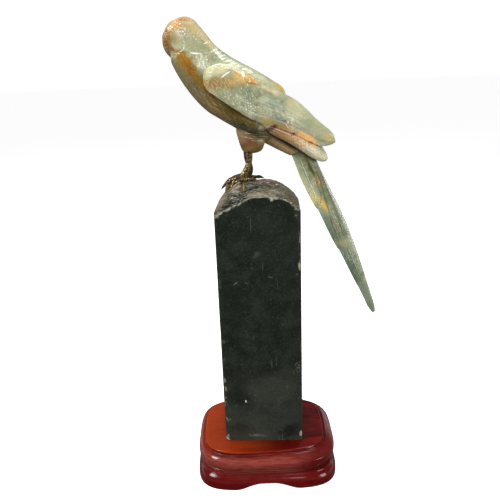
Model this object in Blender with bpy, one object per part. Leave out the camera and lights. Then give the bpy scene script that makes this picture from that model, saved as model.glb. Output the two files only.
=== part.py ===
"""Carved stone parrot on a stone column, on a lacquered wooden stand.

Lengths are metres and +Z is up. The bird looks towards -X. Its forms are shares of its own
height, measured from the perch, the point where it stands on the column, up to its crown.
"""
import math

import bmesh
import bpy
import numpy as np
from mathutils import Matrix

# Fits
FIT_GAP = 0.0003
SEAT_GAP = 0.0003

# Stand
PANEL_WIDTH = 0.119
PANEL_DEPTH = 0.101
PANEL_SQUARENESS = 3.7
FOOT_SQUARENESS = 4.6
FOOT_BOARD_HEIGHT = 0.015
TOP_BOARD_HEIGHT = 0.0197
ARCH_HEIGHT = 0.0078
ARCH_SLOPE = 0.85
FOOT_WIDTH = 0.025

# Column
COLUMN_WIDTH = 0.0747
COLUMN_DEPTH = 0.060
COLUMN_TAPER = 0.0017
COLUMN_SHOULDER = 0.219
DOME_RISE = 0.023
DOME_FRONT_DROP = 0.009
COLUMN_OFFSET = -0.0009
COLUMN_TURN = math.radians(-2.9)
COLUMN_SQUARENESS = 16.0
DOME_RINGS = (1.0, 0.93, 0.82, 0.66, 0.48, 0.30, 0.14)

# Chips along the column's edges: side, front or back, share of its height, radius
CHIPS = ((1, -1, 0.955, 0.0042), (1, -1, 0.90, 0.0030), (1, -1, 0.83, 0.0024),
         (-1, -1, 0.245, 0.0030), (-1, -1, 0.205, 0.0024), (-1, -1, 0.03, 0.0036),
         (1, -1, 0.03, 0.0036), (-1, 1, 0.62, 0.0034))
CHIP_STRETCH = 2.2
CHIP_STAND_OFF = 0.45

# Boards: steps of height as shares of the board's own height, and outset from the panel
TOP_PROFILE = ((0.0, 0.0022), (0.10, 0.0024), (0.24, 0.0036), (0.36, 0.0050), (0.50, 0.0056),
               (0.65, 0.0054), (0.78, 0.0047), (0.84, 0.0036), (0.855, 0.0012), (0.93, 0.0004),
               (0.985, 0.0), (1.0, -0.0006))
FOOT_PROFILE = ((0.0, 0.0048), (0.12, 0.0060), (0.34, 0.0066), (0.56, 0.0062), (0.78, 0.0046),
                (0.93, 0.0028), (1.0, 0.0022))

# Points round and along each form
BOARD_POINTS = 32
COLUMN_POINTS = 36
TRUNK_POINTS = 22
TRUNK_RINGS = 23
THIGH_POINTS = 12
TOE_POINTS = 6

# Bird
FIGURE_HEIGHT = 0.1435
PERCH_X = -0.010
LEG_SPREAD = 0.020
LEG_RADIUS = 0.0030
SOCKET_DEPTH = 0.005
PIN_RADIUS = 0.0016
PIN_DEPTH = 0.006

# Belly point, back point and half width of each section of head and body, forehead to rump
BODY_SECTIONS = (
    (-0.422, 0.955, -0.380, 0.983, 0.045),
    (-0.443, 0.920, -0.321, 0.999, 0.083),
    (-0.443, 0.878, -0.274, 0.983, 0.101),
    (-0.425, 0.836, -0.240, 0.945, 0.108),
    (-0.415, 0.794, -0.209, 0.906, 0.110),
    (-0.415, 0.753, -0.176, 0.862, 0.117),
    (-0.397, 0.707, -0.131, 0.816, 0.130),
    (-0.367, 0.652, -0.066, 0.768, 0.143),
    (-0.328, 0.591, 0.014, 0.723, 0.153),
    (-0.277, 0.523, 0.094, 0.679, 0.159),
    (-0.213, 0.462, 0.164, 0.636, 0.159),
    (-0.129, 0.406, 0.229, 0.587, 0.149),
    (-0.035, 0.348, 0.254, 0.533, 0.132),
    (0.052, 0.296, 0.279, 0.470, 0.114),
    (0.128, 0.262, 0.317, 0.404, 0.095),
    (0.200, 0.222, 0.362, 0.328, 0.075),
    (0.266, 0.188, 0.397, 0.251, 0.055),
)

# The wing's own axis: where it starts at the shoulder and how steeply it falls to the tip
SHOULDER = (-0.279, 0.669)
WING_FALL = math.radians(25.6)

# Values along the wing's axis, as pairs of place and value
WING_FLANK = ((0.040, 0.164), (0.100, 0.178), (0.200, 0.186), (0.300, 0.186), (0.418, 0.175),
              (0.557, 0.150), (0.697, 0.119), (0.801, 0.092), (0.918, 0.056))
WING_MIDDLE = ((0.040, 0.044), (0.139, 0.018), (0.279, 0.000), (0.418, -0.020), (0.557, -0.035),
               (0.918, -0.043))
WING_ROOF = ((0.040, 0.215), (0.139, 0.185), (0.338, 0.173), (0.500, 0.150), (0.540, 0.129),
             (0.610, 0.116), (0.680, 0.095), (0.742, 0.072), (0.812, 0.052), (0.865, 0.034),
             (0.918, 0.006))
UPPER_TOP = ((0.046, 0.046), (0.052, 0.063), (0.066, 0.084), (0.090, 0.108), (0.138, 0.130),
             (0.200, 0.143), (0.278, 0.134), (0.362, 0.114), (0.432, 0.112), (0.524, 0.120),
             (0.610, 0.112), (0.680, 0.091), (0.742, 0.068), (0.812, 0.048), (0.866, 0.033),
             (0.900, 0.010), (0.912, -0.012))
UPPER_LOW = ((0.046, 0.034), (0.054, 0.014), (0.070, -0.014), (0.092, -0.032), (0.160, -0.051),
             (0.254, -0.068), (0.340, -0.081), (0.424, -0.089), (0.497, -0.084),
             (0.632, -0.072), (0.731, -0.073), (0.830, -0.072), (0.882, -0.066),
             (0.905, -0.048), (0.912, -0.024))
LOWER_TOP = ((0.340, -0.050), (0.700, -0.040), (0.800, -0.056), (0.860, -0.070),
             (0.896, -0.084), (0.912, -0.106))
LOWER_LOW = ((0.340, -0.070), (0.424, -0.089), (0.511, -0.115), (0.655, -0.122),
             (0.788, -0.131), (0.872, -0.145), (0.902, -0.138), (0.912, -0.118))
LOWER_FLANK = ((0.340, 0.150), (0.500, 0.128), (0.650, 0.106), (0.800, 0.086), (0.912, 0.064))
TIP_PARTING = 0.022
TIP_START = 0.80
TRUNK_ROUNDNESS = 2.25
WING_ROUNDNESS = 2.3
FEATHER_GROOVE = 0.006
EDGE_FALL = 0.008
BLADE_DEPTH = 0.012
PRIMARY_DEPTH = 0.034
PRIMARY_ROOT_DEPTH = 0.075

# Layers of the wing, inmost first: where each starts and ends along its top and low edge, how
# deep its feather tips are cut, how many feathers lie side by side, how proud it stands, how
# far its edges draw in, and its grid
WING_TIERS = (
    ("flights", 0.046, 0.912, 0.912, 0.000, 4, -0.004, 0.030, (16, 11)),
    ("greater_coverts", 0.049, 0.527, 0.640, 0.034, 4, 0.005, 0.015, (8, 13)),
    ("lesser_coverts", 0.052, 0.372, 0.424, 0.014, 5, 0.014, 0.0, (7, 16)),
)

# Thigh: height, middle, half length, share of the leg's spread and half width of each section
THIGH_SECTIONS = (
    (0.450, 0.085, 0.050, 0.50, 0.014),
    (0.400, 0.066, 0.082, 0.72, 0.030),
    (0.352, 0.046, 0.092, 0.86, 0.042),
    (0.311, 0.040, 0.083, 0.95, 0.047),
    (0.263, 0.040, 0.071, 1.00, 0.046),
    (0.237, 0.039, 0.060, 1.00, 0.041),
    (0.225, 0.038, 0.046, 1.00, 0.031),
    (0.2185, 0.038, 0.026, 1.00, 0.018),
)

# Beak: place, half thickness and half width of each section, cere to tip
BEAK_SECTIONS = (
    (-0.408, 0.930, 0.022, 0.032),
    (-0.430, 0.898, 0.024, 0.038),
    (-0.437, 0.862, 0.023, 0.034),
    (-0.433, 0.827, 0.019, 0.025),
    (-0.427, 0.799, 0.012, 0.014),
    (-0.424, 0.779, 0.004, 0.005),
)
EYE_PLACE = (-0.332, 0.905)
EYE_RADIUS = 0.024

# Tail: root, fall of its axis, half thickness along it, and its layers of feathers from the
# longest to the shortest: place along the axis, low edge and high edge
TAIL_ROOT = (0.348, 0.195)
TAIL_FALL = math.radians(65.4)
TAIL_START = -0.028
TAIL_SPINE = ((-0.028, 0.026), (0.300, 0.023), (0.700, 0.018), (1.140, 0.008))
TAIL_LAYERS = (
    ((-0.028, -0.052, 0.060), (0.110, -0.053, 0.055), (0.210, -0.054, 0.057),
     (0.395, -0.055, 0.061), (0.508, -0.055, 0.059), (0.614, -0.055, 0.053),
     (0.733, -0.051, 0.042), (0.840, -0.048, 0.030), (1.019, -0.045, 0.008),
     (1.100, -0.044, -0.003), (1.140, -0.035, -0.015)),
    ((-0.028, -0.056, 0.045), (0.350, -0.057, 0.028), (0.600, -0.056, 0.000),
     (0.770, -0.052, -0.020), (0.880, -0.050, -0.038), (0.925, -0.0475, -0.046)),
    ((-0.028, -0.062, 0.030), (0.203, -0.064, 0.015), (0.364, -0.065, -0.012),
     (0.500, -0.065, -0.031), (0.600, -0.063, -0.048), (0.648, -0.059, -0.058)),
    ((-0.028, -0.066, 0.006), (0.050, -0.071, -0.002), (0.135, -0.078, -0.003),
     (0.225, -0.079, -0.009), (0.285, -0.077, -0.020), (0.325, -0.074, -0.042),
     (0.350, -0.069, -0.064)),
)
TAIL_STEP = 0.005
TAIL_RIDGE = 0.62
TAIL_TIP_THINNING = 0.35
TAIL_ROWS = (15, 12, 11, 9)
TAIL_LANES = (7, 5, 5, 5)

# Leg line, then toes: turn away from -X, reach, fall of the tip and how late it curls
NEAR_LEG = ((0.020, 0.251), (0.018, 0.174), (0.006, 0.127), (-0.026, 0.064))
FAR_LEG = ((0.010, 0.251), (0.012, 0.165), (0.022, 0.112), (0.010, 0.064))
NEAR_TOES = ((8.0, 0.108, -0.086, 5.0), (-38.0, 0.086, -0.045, 4.0), (172.0, 0.090, -0.018, 3.0))
FAR_TOES = ((6.0, 0.172, -0.084, 2.6), (-24.0, 0.150, -0.080, 2.6), (168.0, 0.090, -0.020, 3.0))
TOE_STEPS = (0.0, 0.25, 0.50, 0.72, 0.87, 0.95, 1.0)
LEG_SWELL = (1.0, 1.0, 0.96, 0.90, 0.88, 0.92, 1.02, 1.10, 0.95)
TOE_RADII = (0.0021, 0.0022, 0.0020, 0.0021, 0.0014, 0.0009, 0.0004)

STAND_HEIGHT = FOOT_BOARD_HEIGHT + SEAT_GAP + TOP_BOARD_HEIGHT
COLUMN_BASE = STAND_HEIGHT + SEAT_GAP


def clear_scene():
    for item in list(bpy.data.objects):
        bpy.data.objects.remove(item, do_unlink=True)


def collection(name):
    group = bpy.data.collections.new(name)
    bpy.context.scene.collection.children.link(group)
    return group


def smooth_line(knots, place):
    """Value at each place on a smooth line through pairs of place and value."""
    knots = np.asarray(knots, dtype=float)
    x, y = knots[:, 0], knots[:, 1:]
    place = np.clip(np.asarray(place, dtype=float), x[0], x[-1])
    slope = np.gradient(y, x, axis=0)
    left = np.clip(np.searchsorted(x, place, side="right") - 1, 0, len(x) - 2)
    span = (x[left + 1] - x[left])[..., None]
    t = (place - x[left])[..., None] / span
    start = y[left] * (1 + 2 * t) * (1 - t) ** 2 + slope[left] * span * t * (1 - t) ** 2
    end = y[left + 1] * (3 - 2 * t) * t ** 2 - slope[left + 1] * span * (1 - t) * t ** 2
    value = start + end
    return value[..., 0] if y.shape[1] == 1 else value


def resample(rows, count):
    """Rows of numbers read at evenly spaced steps along a smooth line through them."""
    steps = np.arange(len(rows), dtype=float)[:, None]
    return smooth_line(np.hstack((steps, np.asarray(rows))), np.linspace(0, len(rows) - 1, count))


def oval(count, squareness):
    """Closed outline of half size one: a circle at squareness 2, squarer above it."""
    turn = np.arange(count) * 2 * math.pi / count
    c, s = np.cos(turn), np.sin(turn)
    power = 2.0 / squareness
    return np.sign(c) * np.abs(c) ** power, np.sign(s) * np.abs(s) ** power


def closed_mesh(name, points, faces, group):
    mesh = bpy.data.meshes.new(name)
    mesh.from_pydata(np.asarray(points).tolist(), [], faces)
    body = bmesh.new()
    body.from_mesh(mesh)
    bmesh.ops.recalc_face_normals(body, faces=body.faces)
    body.to_mesh(mesh)
    body.free()
    item = bpy.data.objects.new(name, mesh)
    group.objects.link(item)
    return item


def loft(name, rings, group):
    """Skin over rings of points, each end closed round its own middle point."""
    rings = np.asarray(rings, dtype=float)
    rows, count = rings.shape[:2]
    points = np.vstack((rings.reshape(-1, 3), rings[0].mean(axis=0), rings[-1].mean(axis=0)))
    faces = []
    for i in range(rows - 1):
        for j in range(count):
            k = (j + 1) % count
            faces.append((i * count + j, i * count + k, (i + 1) * count + k, (i + 1) * count + j))
    first, last = rows * count, rows * count + 1
    top = (rows - 1) * count
    for j in range(count):
        k = (j + 1) % count
        faces.append((first, k, j))
        faces.append((last, top + j, top + k))
    return closed_mesh(name, points, faces, group)


def sheet(name, outer, inner, group):
    """Closed body between two grids of points of the same size."""
    rows, lanes = outer.shape[:2]
    points = np.vstack((outer.reshape(-1, 3), inner.reshape(-1, 3)))
    back = rows * lanes
    faces = []
    for i in range(rows - 1):
        for j in range(lanes - 1):
            a = i * lanes + j
            quad = (a, a + 1, a + 1 + lanes, a + lanes)
            faces.append(quad)
            faces.append(tuple(back + v for v in reversed(quad)))
    rim = [j for j in range(lanes)]
    rim += [i * lanes + lanes - 1 for i in range(1, rows)]
    rim += [(rows - 1) * lanes + j for j in range(lanes - 2, -1, -1)]
    rim += [i * lanes for i in range(rows - 2, 0, -1)]
    for a, b in zip(rim, rim[1:] + rim[:1]):
        faces.append((b, a, back + a, back + b))
    return closed_mesh(name, points, faces, group)


def limb(name, path, radii, group, sides=8):
    """Round limb along a path, with its own radius at each point."""
    path = np.asarray(path, dtype=float)
    ahead = np.gradient(path, axis=0)
    ahead /= np.linalg.norm(ahead, axis=1)[:, None]
    across = np.cross(ahead, (0.0, 1.0, 0.0))
    across /= np.linalg.norm(across, axis=1)[:, None]
    beside = np.cross(ahead, across)
    c, s = oval(sides, 2.0)
    radii = np.asarray(radii)[:, None, None]
    rings = path[:, None] + radii * (across[:, None] * c[:, None] + beside[:, None] * s[:, None])
    return loft(name, rings, group)


def as_guide(item):
    item.hide_render = True
    item.display_type = "WIRE"
    return item


def boolean(item, operation, operands):
    """Joins or cuts an object with every object of a collection."""
    for other in operands.objects:
        as_guide(other)
    change = item.modifiers.new(operation.lower(), "BOOLEAN")
    change.operation = operation
    change.operand_type = "COLLECTION"
    change.collection = operands


def finish(item, color, roughness, metallic=0.0):
    material = bpy.data.materials.new(item.name)
    material.use_nodes = True
    shader = material.node_tree.nodes["Principled BSDF"]
    shader.inputs["Base Color"].default_value = (*color, 1.0)
    shader.inputs["Roughness"].default_value = roughness
    shader.inputs["Metallic"].default_value = metallic
    item.data.materials.append(material)
    return item


def board(name, profile, squareness, group):
    """Moulded board: the panel's outline grown by each step of a profile of height and outset."""
    x, y = oval(BOARD_POINTS, squareness)
    rings = []
    for height, outset in profile:
        ring = np.stack((x * (PANEL_WIDTH / 2 + outset), y * (PANEL_DEPTH / 2 + outset),
                         np.full(BOARD_POINTS, height)), axis=1)
        rings.append(ring)
    return loft(name, rings, group)


def top_board(group):
    base = FOOT_BOARD_HEIGHT + SEAT_GAP
    profile = [(base + share * TOP_BOARD_HEIGHT, outset) for share, outset in TOP_PROFILE]
    item = board("stand_top_board", profile, PANEL_SQUARENESS, group)
    return finish(item, (0.30, 0.035, 0.02), 0.25)


def arch_outline(half_span):
    """Half outline of the arch under the board: flat in the middle, curving down to each foot."""
    x = np.linspace(-half_span, half_span, 17)
    rise = np.clip((half_span - np.abs(x)) / (ARCH_SLOPE * half_span), 0.0, 1.0)
    return x, ARCH_HEIGHT * rise * rise * (3 - 2 * rise)


def arch_cutter(name, half_span, length, turn, group):
    """Arch-shaped bar that passes right through the foot board."""
    x, z = arch_outline(half_span)
    drop = -ARCH_HEIGHT
    outline = list(zip(x, z)) + [(half_span, drop), (-half_span, drop)]
    curve = bpy.data.curves.new(name, "CURVE")
    curve.dimensions = "2D"
    curve.fill_mode = "BOTH"
    curve.extrude = length / 2
    spline = curve.splines.new("POLY")
    spline.points.add(len(outline) - 1)
    for point, (a, b) in zip(spline.points, outline):
        point.co = (a, b, 0.0, 1.0)
    spline.use_cyclic_u = True
    drawn = bpy.data.objects.new(name, curve)
    bpy.context.scene.collection.objects.link(drawn)
    place = Matrix.Rotation(turn, 4, "Z") @ Matrix.Rotation(math.radians(90), 4, "X")
    graph = bpy.context.evaluated_depsgraph_get()
    mesh = bpy.data.meshes.new_from_object(drawn.evaluated_get(graph))
    body = bmesh.new()
    body.from_mesh(mesh)
    bmesh.ops.remove_doubles(body, verts=body.verts, dist=0.00001)
    bmesh.ops.recalc_face_normals(body, faces=body.faces)
    body.to_mesh(mesh)
    body.free()
    cutter = bpy.data.objects.new(name + "_solid", mesh)
    cutter.matrix_world = place
    group.objects.link(cutter)
    bpy.data.objects.remove(drawn, do_unlink=True)
    return cutter


def foot_board(group):
    profile = [(share * FOOT_BOARD_HEIGHT, outset) for share, outset in FOOT_PROFILE]
    item = board("stand_foot_board", profile, FOOT_SQUARENESS, group)
    arches = collection("foot_board_arches")
    reach = PANEL_WIDTH * 1.3
    arch_cutter("front_arch", PANEL_WIDTH / 2 - FOOT_WIDTH, reach, 0.0, arches)
    arch_cutter("side_arch", PANEL_DEPTH / 2 - FOOT_WIDTH, reach, math.radians(90), arches)
    boolean(item, "DIFFERENCE", arches)
    return finish(item, (0.27, 0.03, 0.02), 0.25)


def dome(x, y):
    """Height of the stone's rough top, from places as shares of its half width and half depth."""
    across = np.clip(np.abs(x), 0.0, 1.0)
    to_front = np.clip((0.35 - y) / 1.35, 0.0, 1.0)
    to_back = np.clip((y - 0.35) / 0.65, 0.0, 1.0)
    crown = DOME_RISE - DOME_FRONT_DROP * to_front ** 0.9 - 0.35 * DOME_RISE * to_back ** 2
    power = 2.6 + 1.2 * to_front
    arch = (1.0 - across ** power) ** 0.78
    broken = np.exp(-((x + 0.56) / 0.28) ** 2 - ((y + 1.05) / 0.55) ** 2)
    lumps = 0.035 * np.sin(7.1 * x + 2.3 * y) * np.cos(5.3 * y - 3.1 * x)
    return COLUMN_SHOULDER + crown * arch * (1.0 + lumps) - 0.30 * DOME_RISE * broken * arch


def stone_height(x, y):
    """World height of the stone's top at a world place."""
    c, s = math.cos(COLUMN_TURN), math.sin(COLUMN_TURN)
    dx, dy = np.asarray(x) - COLUMN_OFFSET, np.asarray(y)
    own_x = (dx * c + dy * s) / (COLUMN_WIDTH / 2)
    own_y = (-dx * s + dy * c) / (COLUMN_DEPTH / 2)
    return COLUMN_BASE + dome(own_x, own_y)


def column_chips(group):
    """Rough stones that break chips out of the column's edges."""
    for number, (side, front, share, radius) in enumerate(CHIPS):
        mesh = bpy.data.meshes.new("chip")
        body = bmesh.new()
        bmesh.ops.create_icosphere(body, subdivisions=1, radius=radius)
        bmesh.ops.rotate(body, verts=body.verts, cent=(0, 0, 0),
                         matrix=Matrix.Rotation(0.7 * number, 3, (1, 2, 3)))
        bmesh.ops.scale(body, verts=body.verts, vec=(1.0, 1.0, CHIP_STRETCH))
        body.to_mesh(mesh)
        body.free()
        chip = bpy.data.objects.new("chip_%d" % number, mesh)
        reach = CHIP_STAND_OFF * radius
        chip.location = column_point(side * (1 + reach / (COLUMN_WIDTH / 2)),
                                     front * (1 + reach / (COLUMN_DEPTH / 2)),
                                     share * COLUMN_SHOULDER)
        group.objects.link(chip)


def column_point(x, y, z):
    """World points from shares of the column's half width and half depth and a height on it."""
    c, s = math.cos(COLUMN_TURN), math.sin(COLUMN_TURN)
    taper = COLUMN_TAPER * np.clip(1.0 - z / COLUMN_SHOULDER, 0.0, 1.0)
    own_x, own_y = x * (COLUMN_WIDTH - taper) / 2, y * COLUMN_DEPTH / 2
    return np.stack((COLUMN_OFFSET + own_x * c - own_y * s, own_x * s + own_y * c,
                     COLUMN_BASE + z), axis=-1)


def stone_column(group):
    """Block with near-square corners and a domed top, chipped, and drilled for the near pin."""
    x, y = oval(COLUMN_POINTS, COLUMN_SQUARENESS)
    flat = np.zeros(COLUMN_POINTS)
    rings = [column_point(x, y, flat + share * COLUMN_SHOULDER) for share in (0.0, 0.34, 0.68)]
    for share in DOME_RINGS:
        rings.append(column_point(x * share, y * share, dome(x * share, y * share)))
    item = loft("stone_column", rings, group)
    cuts = collection("column_cuts")
    column_chips(cuts)
    pin_hole(cuts)
    boolean(item, "DIFFERENCE", cuts)
    return finish(item, (0.012, 0.020, 0.016), 0.35)


def figure_point(x, z, y=0.0):
    """World points from shares of the figure's height, out from the perch."""
    perch_z = stone_height(PERCH_X, -LEG_SPREAD / 2)
    x, z, y = np.broadcast_arrays(x, z, y)
    return np.stack((PERCH_X + x * FIGURE_HEIGHT, y * FIGURE_HEIGHT,
                     perch_z + z * FIGURE_HEIGHT), axis=-1)


def bird_trunk(group):
    """Head and body: oval sections between the line of the breast and the line of the back."""
    rows = resample(BODY_SECTIONS, TRUNK_RINGS)
    c, s = oval(TRUNK_POINTS, TRUNK_ROUNDNESS)
    rings = []
    for belly_x, belly_z, back_x, back_z, half in rows:
        middle = ((belly_x + back_x) / 2, (belly_z + back_z) / 2)
        reach = ((back_x - belly_x) / 2, (back_z - belly_z) / 2)
        rings.append(figure_point(middle[0] + reach[0] * c, middle[1] + reach[1] * c, half * s))
    return loft("trunk", rings, group)


def wing_point(along, across, out, side):
    """World points from places along and across the wing and out from the middle plane."""
    c, s = math.cos(WING_FALL), math.sin(WING_FALL)
    x = SHOULDER[0] + along * c + across * s
    z = SHOULDER[1] - along * s + across * c
    return figure_point(x, z, side * out)


def wing_surface(along, across):
    """How far out the closed wing's surface stands: a roof over the back, full at the flank."""
    middle = smooth_line(WING_MIDDLE, along)
    reach = smooth_line(WING_ROOF, along) - middle
    lean = np.clip(np.abs((across - middle) / reach), 0.0, 0.999)
    fall = (1.0 - lean ** WING_ROUNDNESS) ** (1.0 / WING_ROUNDNESS)
    return smooth_line(WING_FLANK, along) * fall


def wing_tier(name, group, side, tier):
    """Layer of feathers: a sheet between the wing's two edge lines, ending in feather tips."""
    word, start, top_end, low_end, cut, feathers, rise, draw_in, grid = tier
    u, t = np.meshgrid(np.linspace(0, 1, grid[0]), np.linspace(0, 1, grid[1]), indexing="ij")
    tips = np.abs(np.sin(math.pi * feathers * t)) ** 0.7
    end = top_end + (low_end - top_end) * t ** 1.5 - cut * (1.0 - tips)
    along = start + (end - start) * u
    top, low = smooth_line(UPPER_TOP, along), smooth_line(UPPER_LOW, along)
    across = top + (low - top) * (t + draw_in * (0.5 - t))
    proud = rise * np.clip(u * 8.0, 0.0, 1.0) if rise > 0 else rise
    out = wing_surface(along, across) + proud
    out -= FEATHER_GROOVE * (1.0 - tips) * np.clip(u * 3.0 - 1.2, 0.0, 1.0)
    out -= EDGE_FALL * np.clip(1.0 - t / 0.15, 0.0, 1.0) ** 2
    parting = TIP_PARTING * np.clip((along - TIP_START) / (UPPER_TOP[-1][0] - TIP_START), 0.0, 1.0)
    inner = np.minimum(parting - EDGE_FALL, out - BLADE_DEPTH)
    centre = across.mean(axis=1)[:, None]
    tucked = across + (centre - across) * 0.06
    return sheet(name, wing_point(along, across, out, side),
                 wing_point(along, tucked, inner, side), group)


def primaries(name, group, side):
    """Long feathers that show under the upper layers: a leaf that thins towards its tip."""
    u, t = np.meshgrid(np.linspace(0, 1, 11), np.linspace(0, 1, 7), indexing="ij")
    along = LOWER_TOP[0][0] + (LOWER_TOP[-1][0] - LOWER_TOP[0][0]) * u
    top, low = smooth_line(LOWER_TOP, along), smooth_line(LOWER_LOW, along)
    across = top + (low - top) * t
    ridges = np.abs(np.sin(2.0 * math.pi * t)) ** 0.7
    swell = 1.0 - 0.30 * (2.0 * t - 1.0) ** 2
    out = smooth_line(LOWER_FLANK, along) * swell - 0.004 * (1.0 - ridges)
    root = np.clip((0.75 - along) / 0.25, 0.0, 1.0)
    inner = out - PRIMARY_DEPTH - PRIMARY_ROOT_DEPTH * root
    return sheet(name, wing_point(along, across, out, side),
                 wing_point(along, across, inner, side), group)


def thigh(name, side, group):
    rings = []
    c, s = oval(THIGH_POINTS, 2.0)
    spread = side * LEG_SPREAD / 2 / FIGURE_HEIGHT
    for height, middle, length, share, width in THIGH_SECTIONS:
        rings.append(figure_point(middle + length * c, height, spread * share + width * s))
    return loft(name, rings, group)


def beak(group):
    sections = resample(BEAK_SECTIONS, 9)
    path = figure_point(sections[:, 0], sections[:, 1])
    ahead = np.gradient(path, axis=0)
    ahead /= np.linalg.norm(ahead, axis=1)[:, None]
    front = np.cross(ahead, (0.0, 1.0, 0.0))
    c, s = oval(12, 2.0)
    rings = []
    for place, outward, (_, _, thick, wide) in zip(path, front, sections):
        offset = outward * c[:, None] * thick + np.array((0.0, 1.0, 0.0)) * s[:, None] * wide
        rings.append(place + offset * FIGURE_HEIGHT)
    return loft("beak", rings, group)


def eye(name, side, group):
    """Raised ring with a low dome inside it, on the flank of the head."""
    place = figure_point(EYE_PLACE[0], EYE_PLACE[1], side * BODY_SECTIONS[3][4] * 0.985)
    radius = EYE_RADIUS * FIGURE_HEIGHT
    bpy.ops.mesh.primitive_torus_add(major_radius=radius, minor_radius=0.24 * radius,
                                     major_segments=12, minor_segments=4)
    ring = bpy.context.active_object
    ring.name = name + "_ring"
    bpy.ops.mesh.primitive_uv_sphere_add(segments=8, ring_count=4, radius=0.62 * radius)
    dome = bpy.context.active_object
    dome.name = name + "_dome"
    for item in (ring, dome):
        item.location = place
        item.rotation_euler = (math.radians(90), 0.0, 0.0)
        for owner in list(item.users_collection):
            owner.objects.unlink(item)
        group.objects.link(item)


def leg_line(line, side):
    """World points of a leg's line, from its top in the thigh down to the foot."""
    x, z = np.asarray(line).T
    return figure_point(x, z, side * LEG_SPREAD / 2 / FIGURE_HEIGHT)


def socket(name, line, side, group):
    """Round hole in the thigh for the leg's top, wider by the fit and deeper by the fit."""
    path = leg_line(line, side)
    down = path[1] - path[0]
    down /= np.linalg.norm(down)
    ends = np.stack((path[0] - down * FIT_GAP, path[0] + down * (SOCKET_DEPTH * 3)))
    radius = LEG_RADIUS + FIT_GAP
    return limb(name, ends, (radius, radius), group, sides=12)


def tail_point(along, across, out):
    c, s = math.cos(TAIL_FALL), math.sin(TAIL_FALL)
    x = TAIL_ROOT[0] + along * c + across * s
    z = TAIL_ROOT[1] - along * s + across * c
    return figure_point(x, z, out)


def tail_thickness(along, across):
    """Half thickness of the tail: a roof with its ridge just past the middle."""
    left = smooth_line(TAIL_LAYERS[0], along)[..., 0]
    right = smooth_line(TAIL_LAYERS[0], along)[..., 1]
    ridge = left + TAIL_RIDGE * (right - left)
    low_side = np.clip((ridge - across) / (ridge - left), 0.0, 1.3)
    high_side = np.clip((across - ridge) / (right - ridge), 0.0, 1.3)
    roof = 1.0 - 0.62 * low_side ** 1.5 - 0.55 * high_side ** 1.8
    return smooth_line(TAIL_SPINE, along) * np.maximum(roof, 0.2)


def tail_layer(number, group):
    knots = TAIL_LAYERS[number]
    u, t = np.meshgrid(np.linspace(0, 1, TAIL_ROWS[number]),
                       np.linspace(0, 1, TAIL_LANES[number]), indexing="ij")
    along = TAIL_START + (knots[-1][0] - TAIL_START) * u
    edges = smooth_line(knots, along)
    across = edges[..., 0] + (edges[..., 1] - edges[..., 0]) * t
    out = tail_thickness(along, across) + TAIL_STEP * number
    out = out * (1.0 - TAIL_TIP_THINNING * np.clip(u * 6 - 5, 0.0, 1.0)) + 0.0005 * number
    return sheet("tail_layer_%d" % number, tail_point(along, across, out),
                 tail_point(along, across, -out), group)


def tail_room(group):
    """Space for the tail's root in the body, wider than the root by the fit all round."""
    gap = FIT_GAP / FIGURE_HEIGHT
    u, t = np.meshgrid(np.linspace(0, 1, 6), np.linspace(0, 1, 9), indexing="ij")
    along = TAIL_START - gap + 0.30 * u
    left = smooth_line(TAIL_LAYERS[3], along)[..., 0] - gap
    right = smooth_line(TAIL_LAYERS[0], along)[..., 1] + gap
    across = left + (right - left) * t
    out = tail_thickness(along, across) + TAIL_STEP * 3 + 0.0015 + gap * 1.3
    return sheet("tail_room", tail_point(along, across, out), tail_point(along, across, -out),
                 group)


def parrot_body(group):
    item = bird_trunk(group)
    item.name = "parrot_body"
    forms = collection("carved_forms")
    for word, side in (("near", -1), ("far", 1)):
        thigh(word + "_thigh", side, forms)
        eye(word + "_eye", side, forms)
        primaries(word + "_primaries", forms, side)
        for tier in WING_TIERS:
            wing_tier("%s_%s" % (word, tier[0]), forms, side, tier)
    beak(forms)
    boolean(item, "UNION", forms)
    rooms = collection("body_rooms")
    socket("near_socket", NEAR_LEG, -1, rooms)
    socket("far_socket", FAR_LEG, 1, rooms)
    tail_room(rooms)
    boolean(item, "DIFFERENCE", rooms)
    return finish(item, (0.42, 0.47, 0.33), 0.3)


def parrot_tail(group):
    item = tail_layer(0, group)
    item.name = "parrot_tail"
    layers = collection("tail_feathers")
    for number in range(1, len(TAIL_LAYERS)):
        tail_layer(number, layers)
    boolean(item, "UNION", layers)
    return finish(item, (0.33, 0.40, 0.28), 0.3)


def toe(name, ankle, turn, reach, drop, curl, group):
    """Toe and claw: a limb that curls down at its end and stays clear of the stone under it."""
    t, radii = np.array(TOE_STEPS), np.array(TOE_RADII)
    heading = math.radians(turn)
    reach = reach * FIGURE_HEIGHT
    path = np.empty((len(t), 3))
    path[:, 0] = ankle[0] - math.cos(heading) * reach * t
    path[:, 1] = ankle[1] + math.sin(heading) * reach * t
    path[:, 2] = ankle[2] + drop * FIGURE_HEIGHT * t ** curl
    floor = stone_height(path[:, 0], path[:, 1]) + radii * 1.15 + FIT_GAP
    path[:, 2] = np.maximum(path[:, 2], floor)
    return limb(name, path, radii, group, sides=TOE_POINTS)


def foot_pad(name, centre, group):
    """Knuckle where the toes meet under the leg."""
    mesh = bpy.data.meshes.new(name)
    body = bmesh.new()
    bmesh.ops.create_icosphere(body, subdivisions=2, radius=LEG_RADIUS * 1.12)
    bmesh.ops.scale(body, verts=body.verts, vec=(1.1, 1.05, 0.85))
    body.to_mesh(mesh)
    body.free()
    item = bpy.data.objects.new(name, mesh)
    item.location = centre
    group.objects.link(item)


def foot_centre(line, side):
    return leg_line(line, side)[-1]


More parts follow.
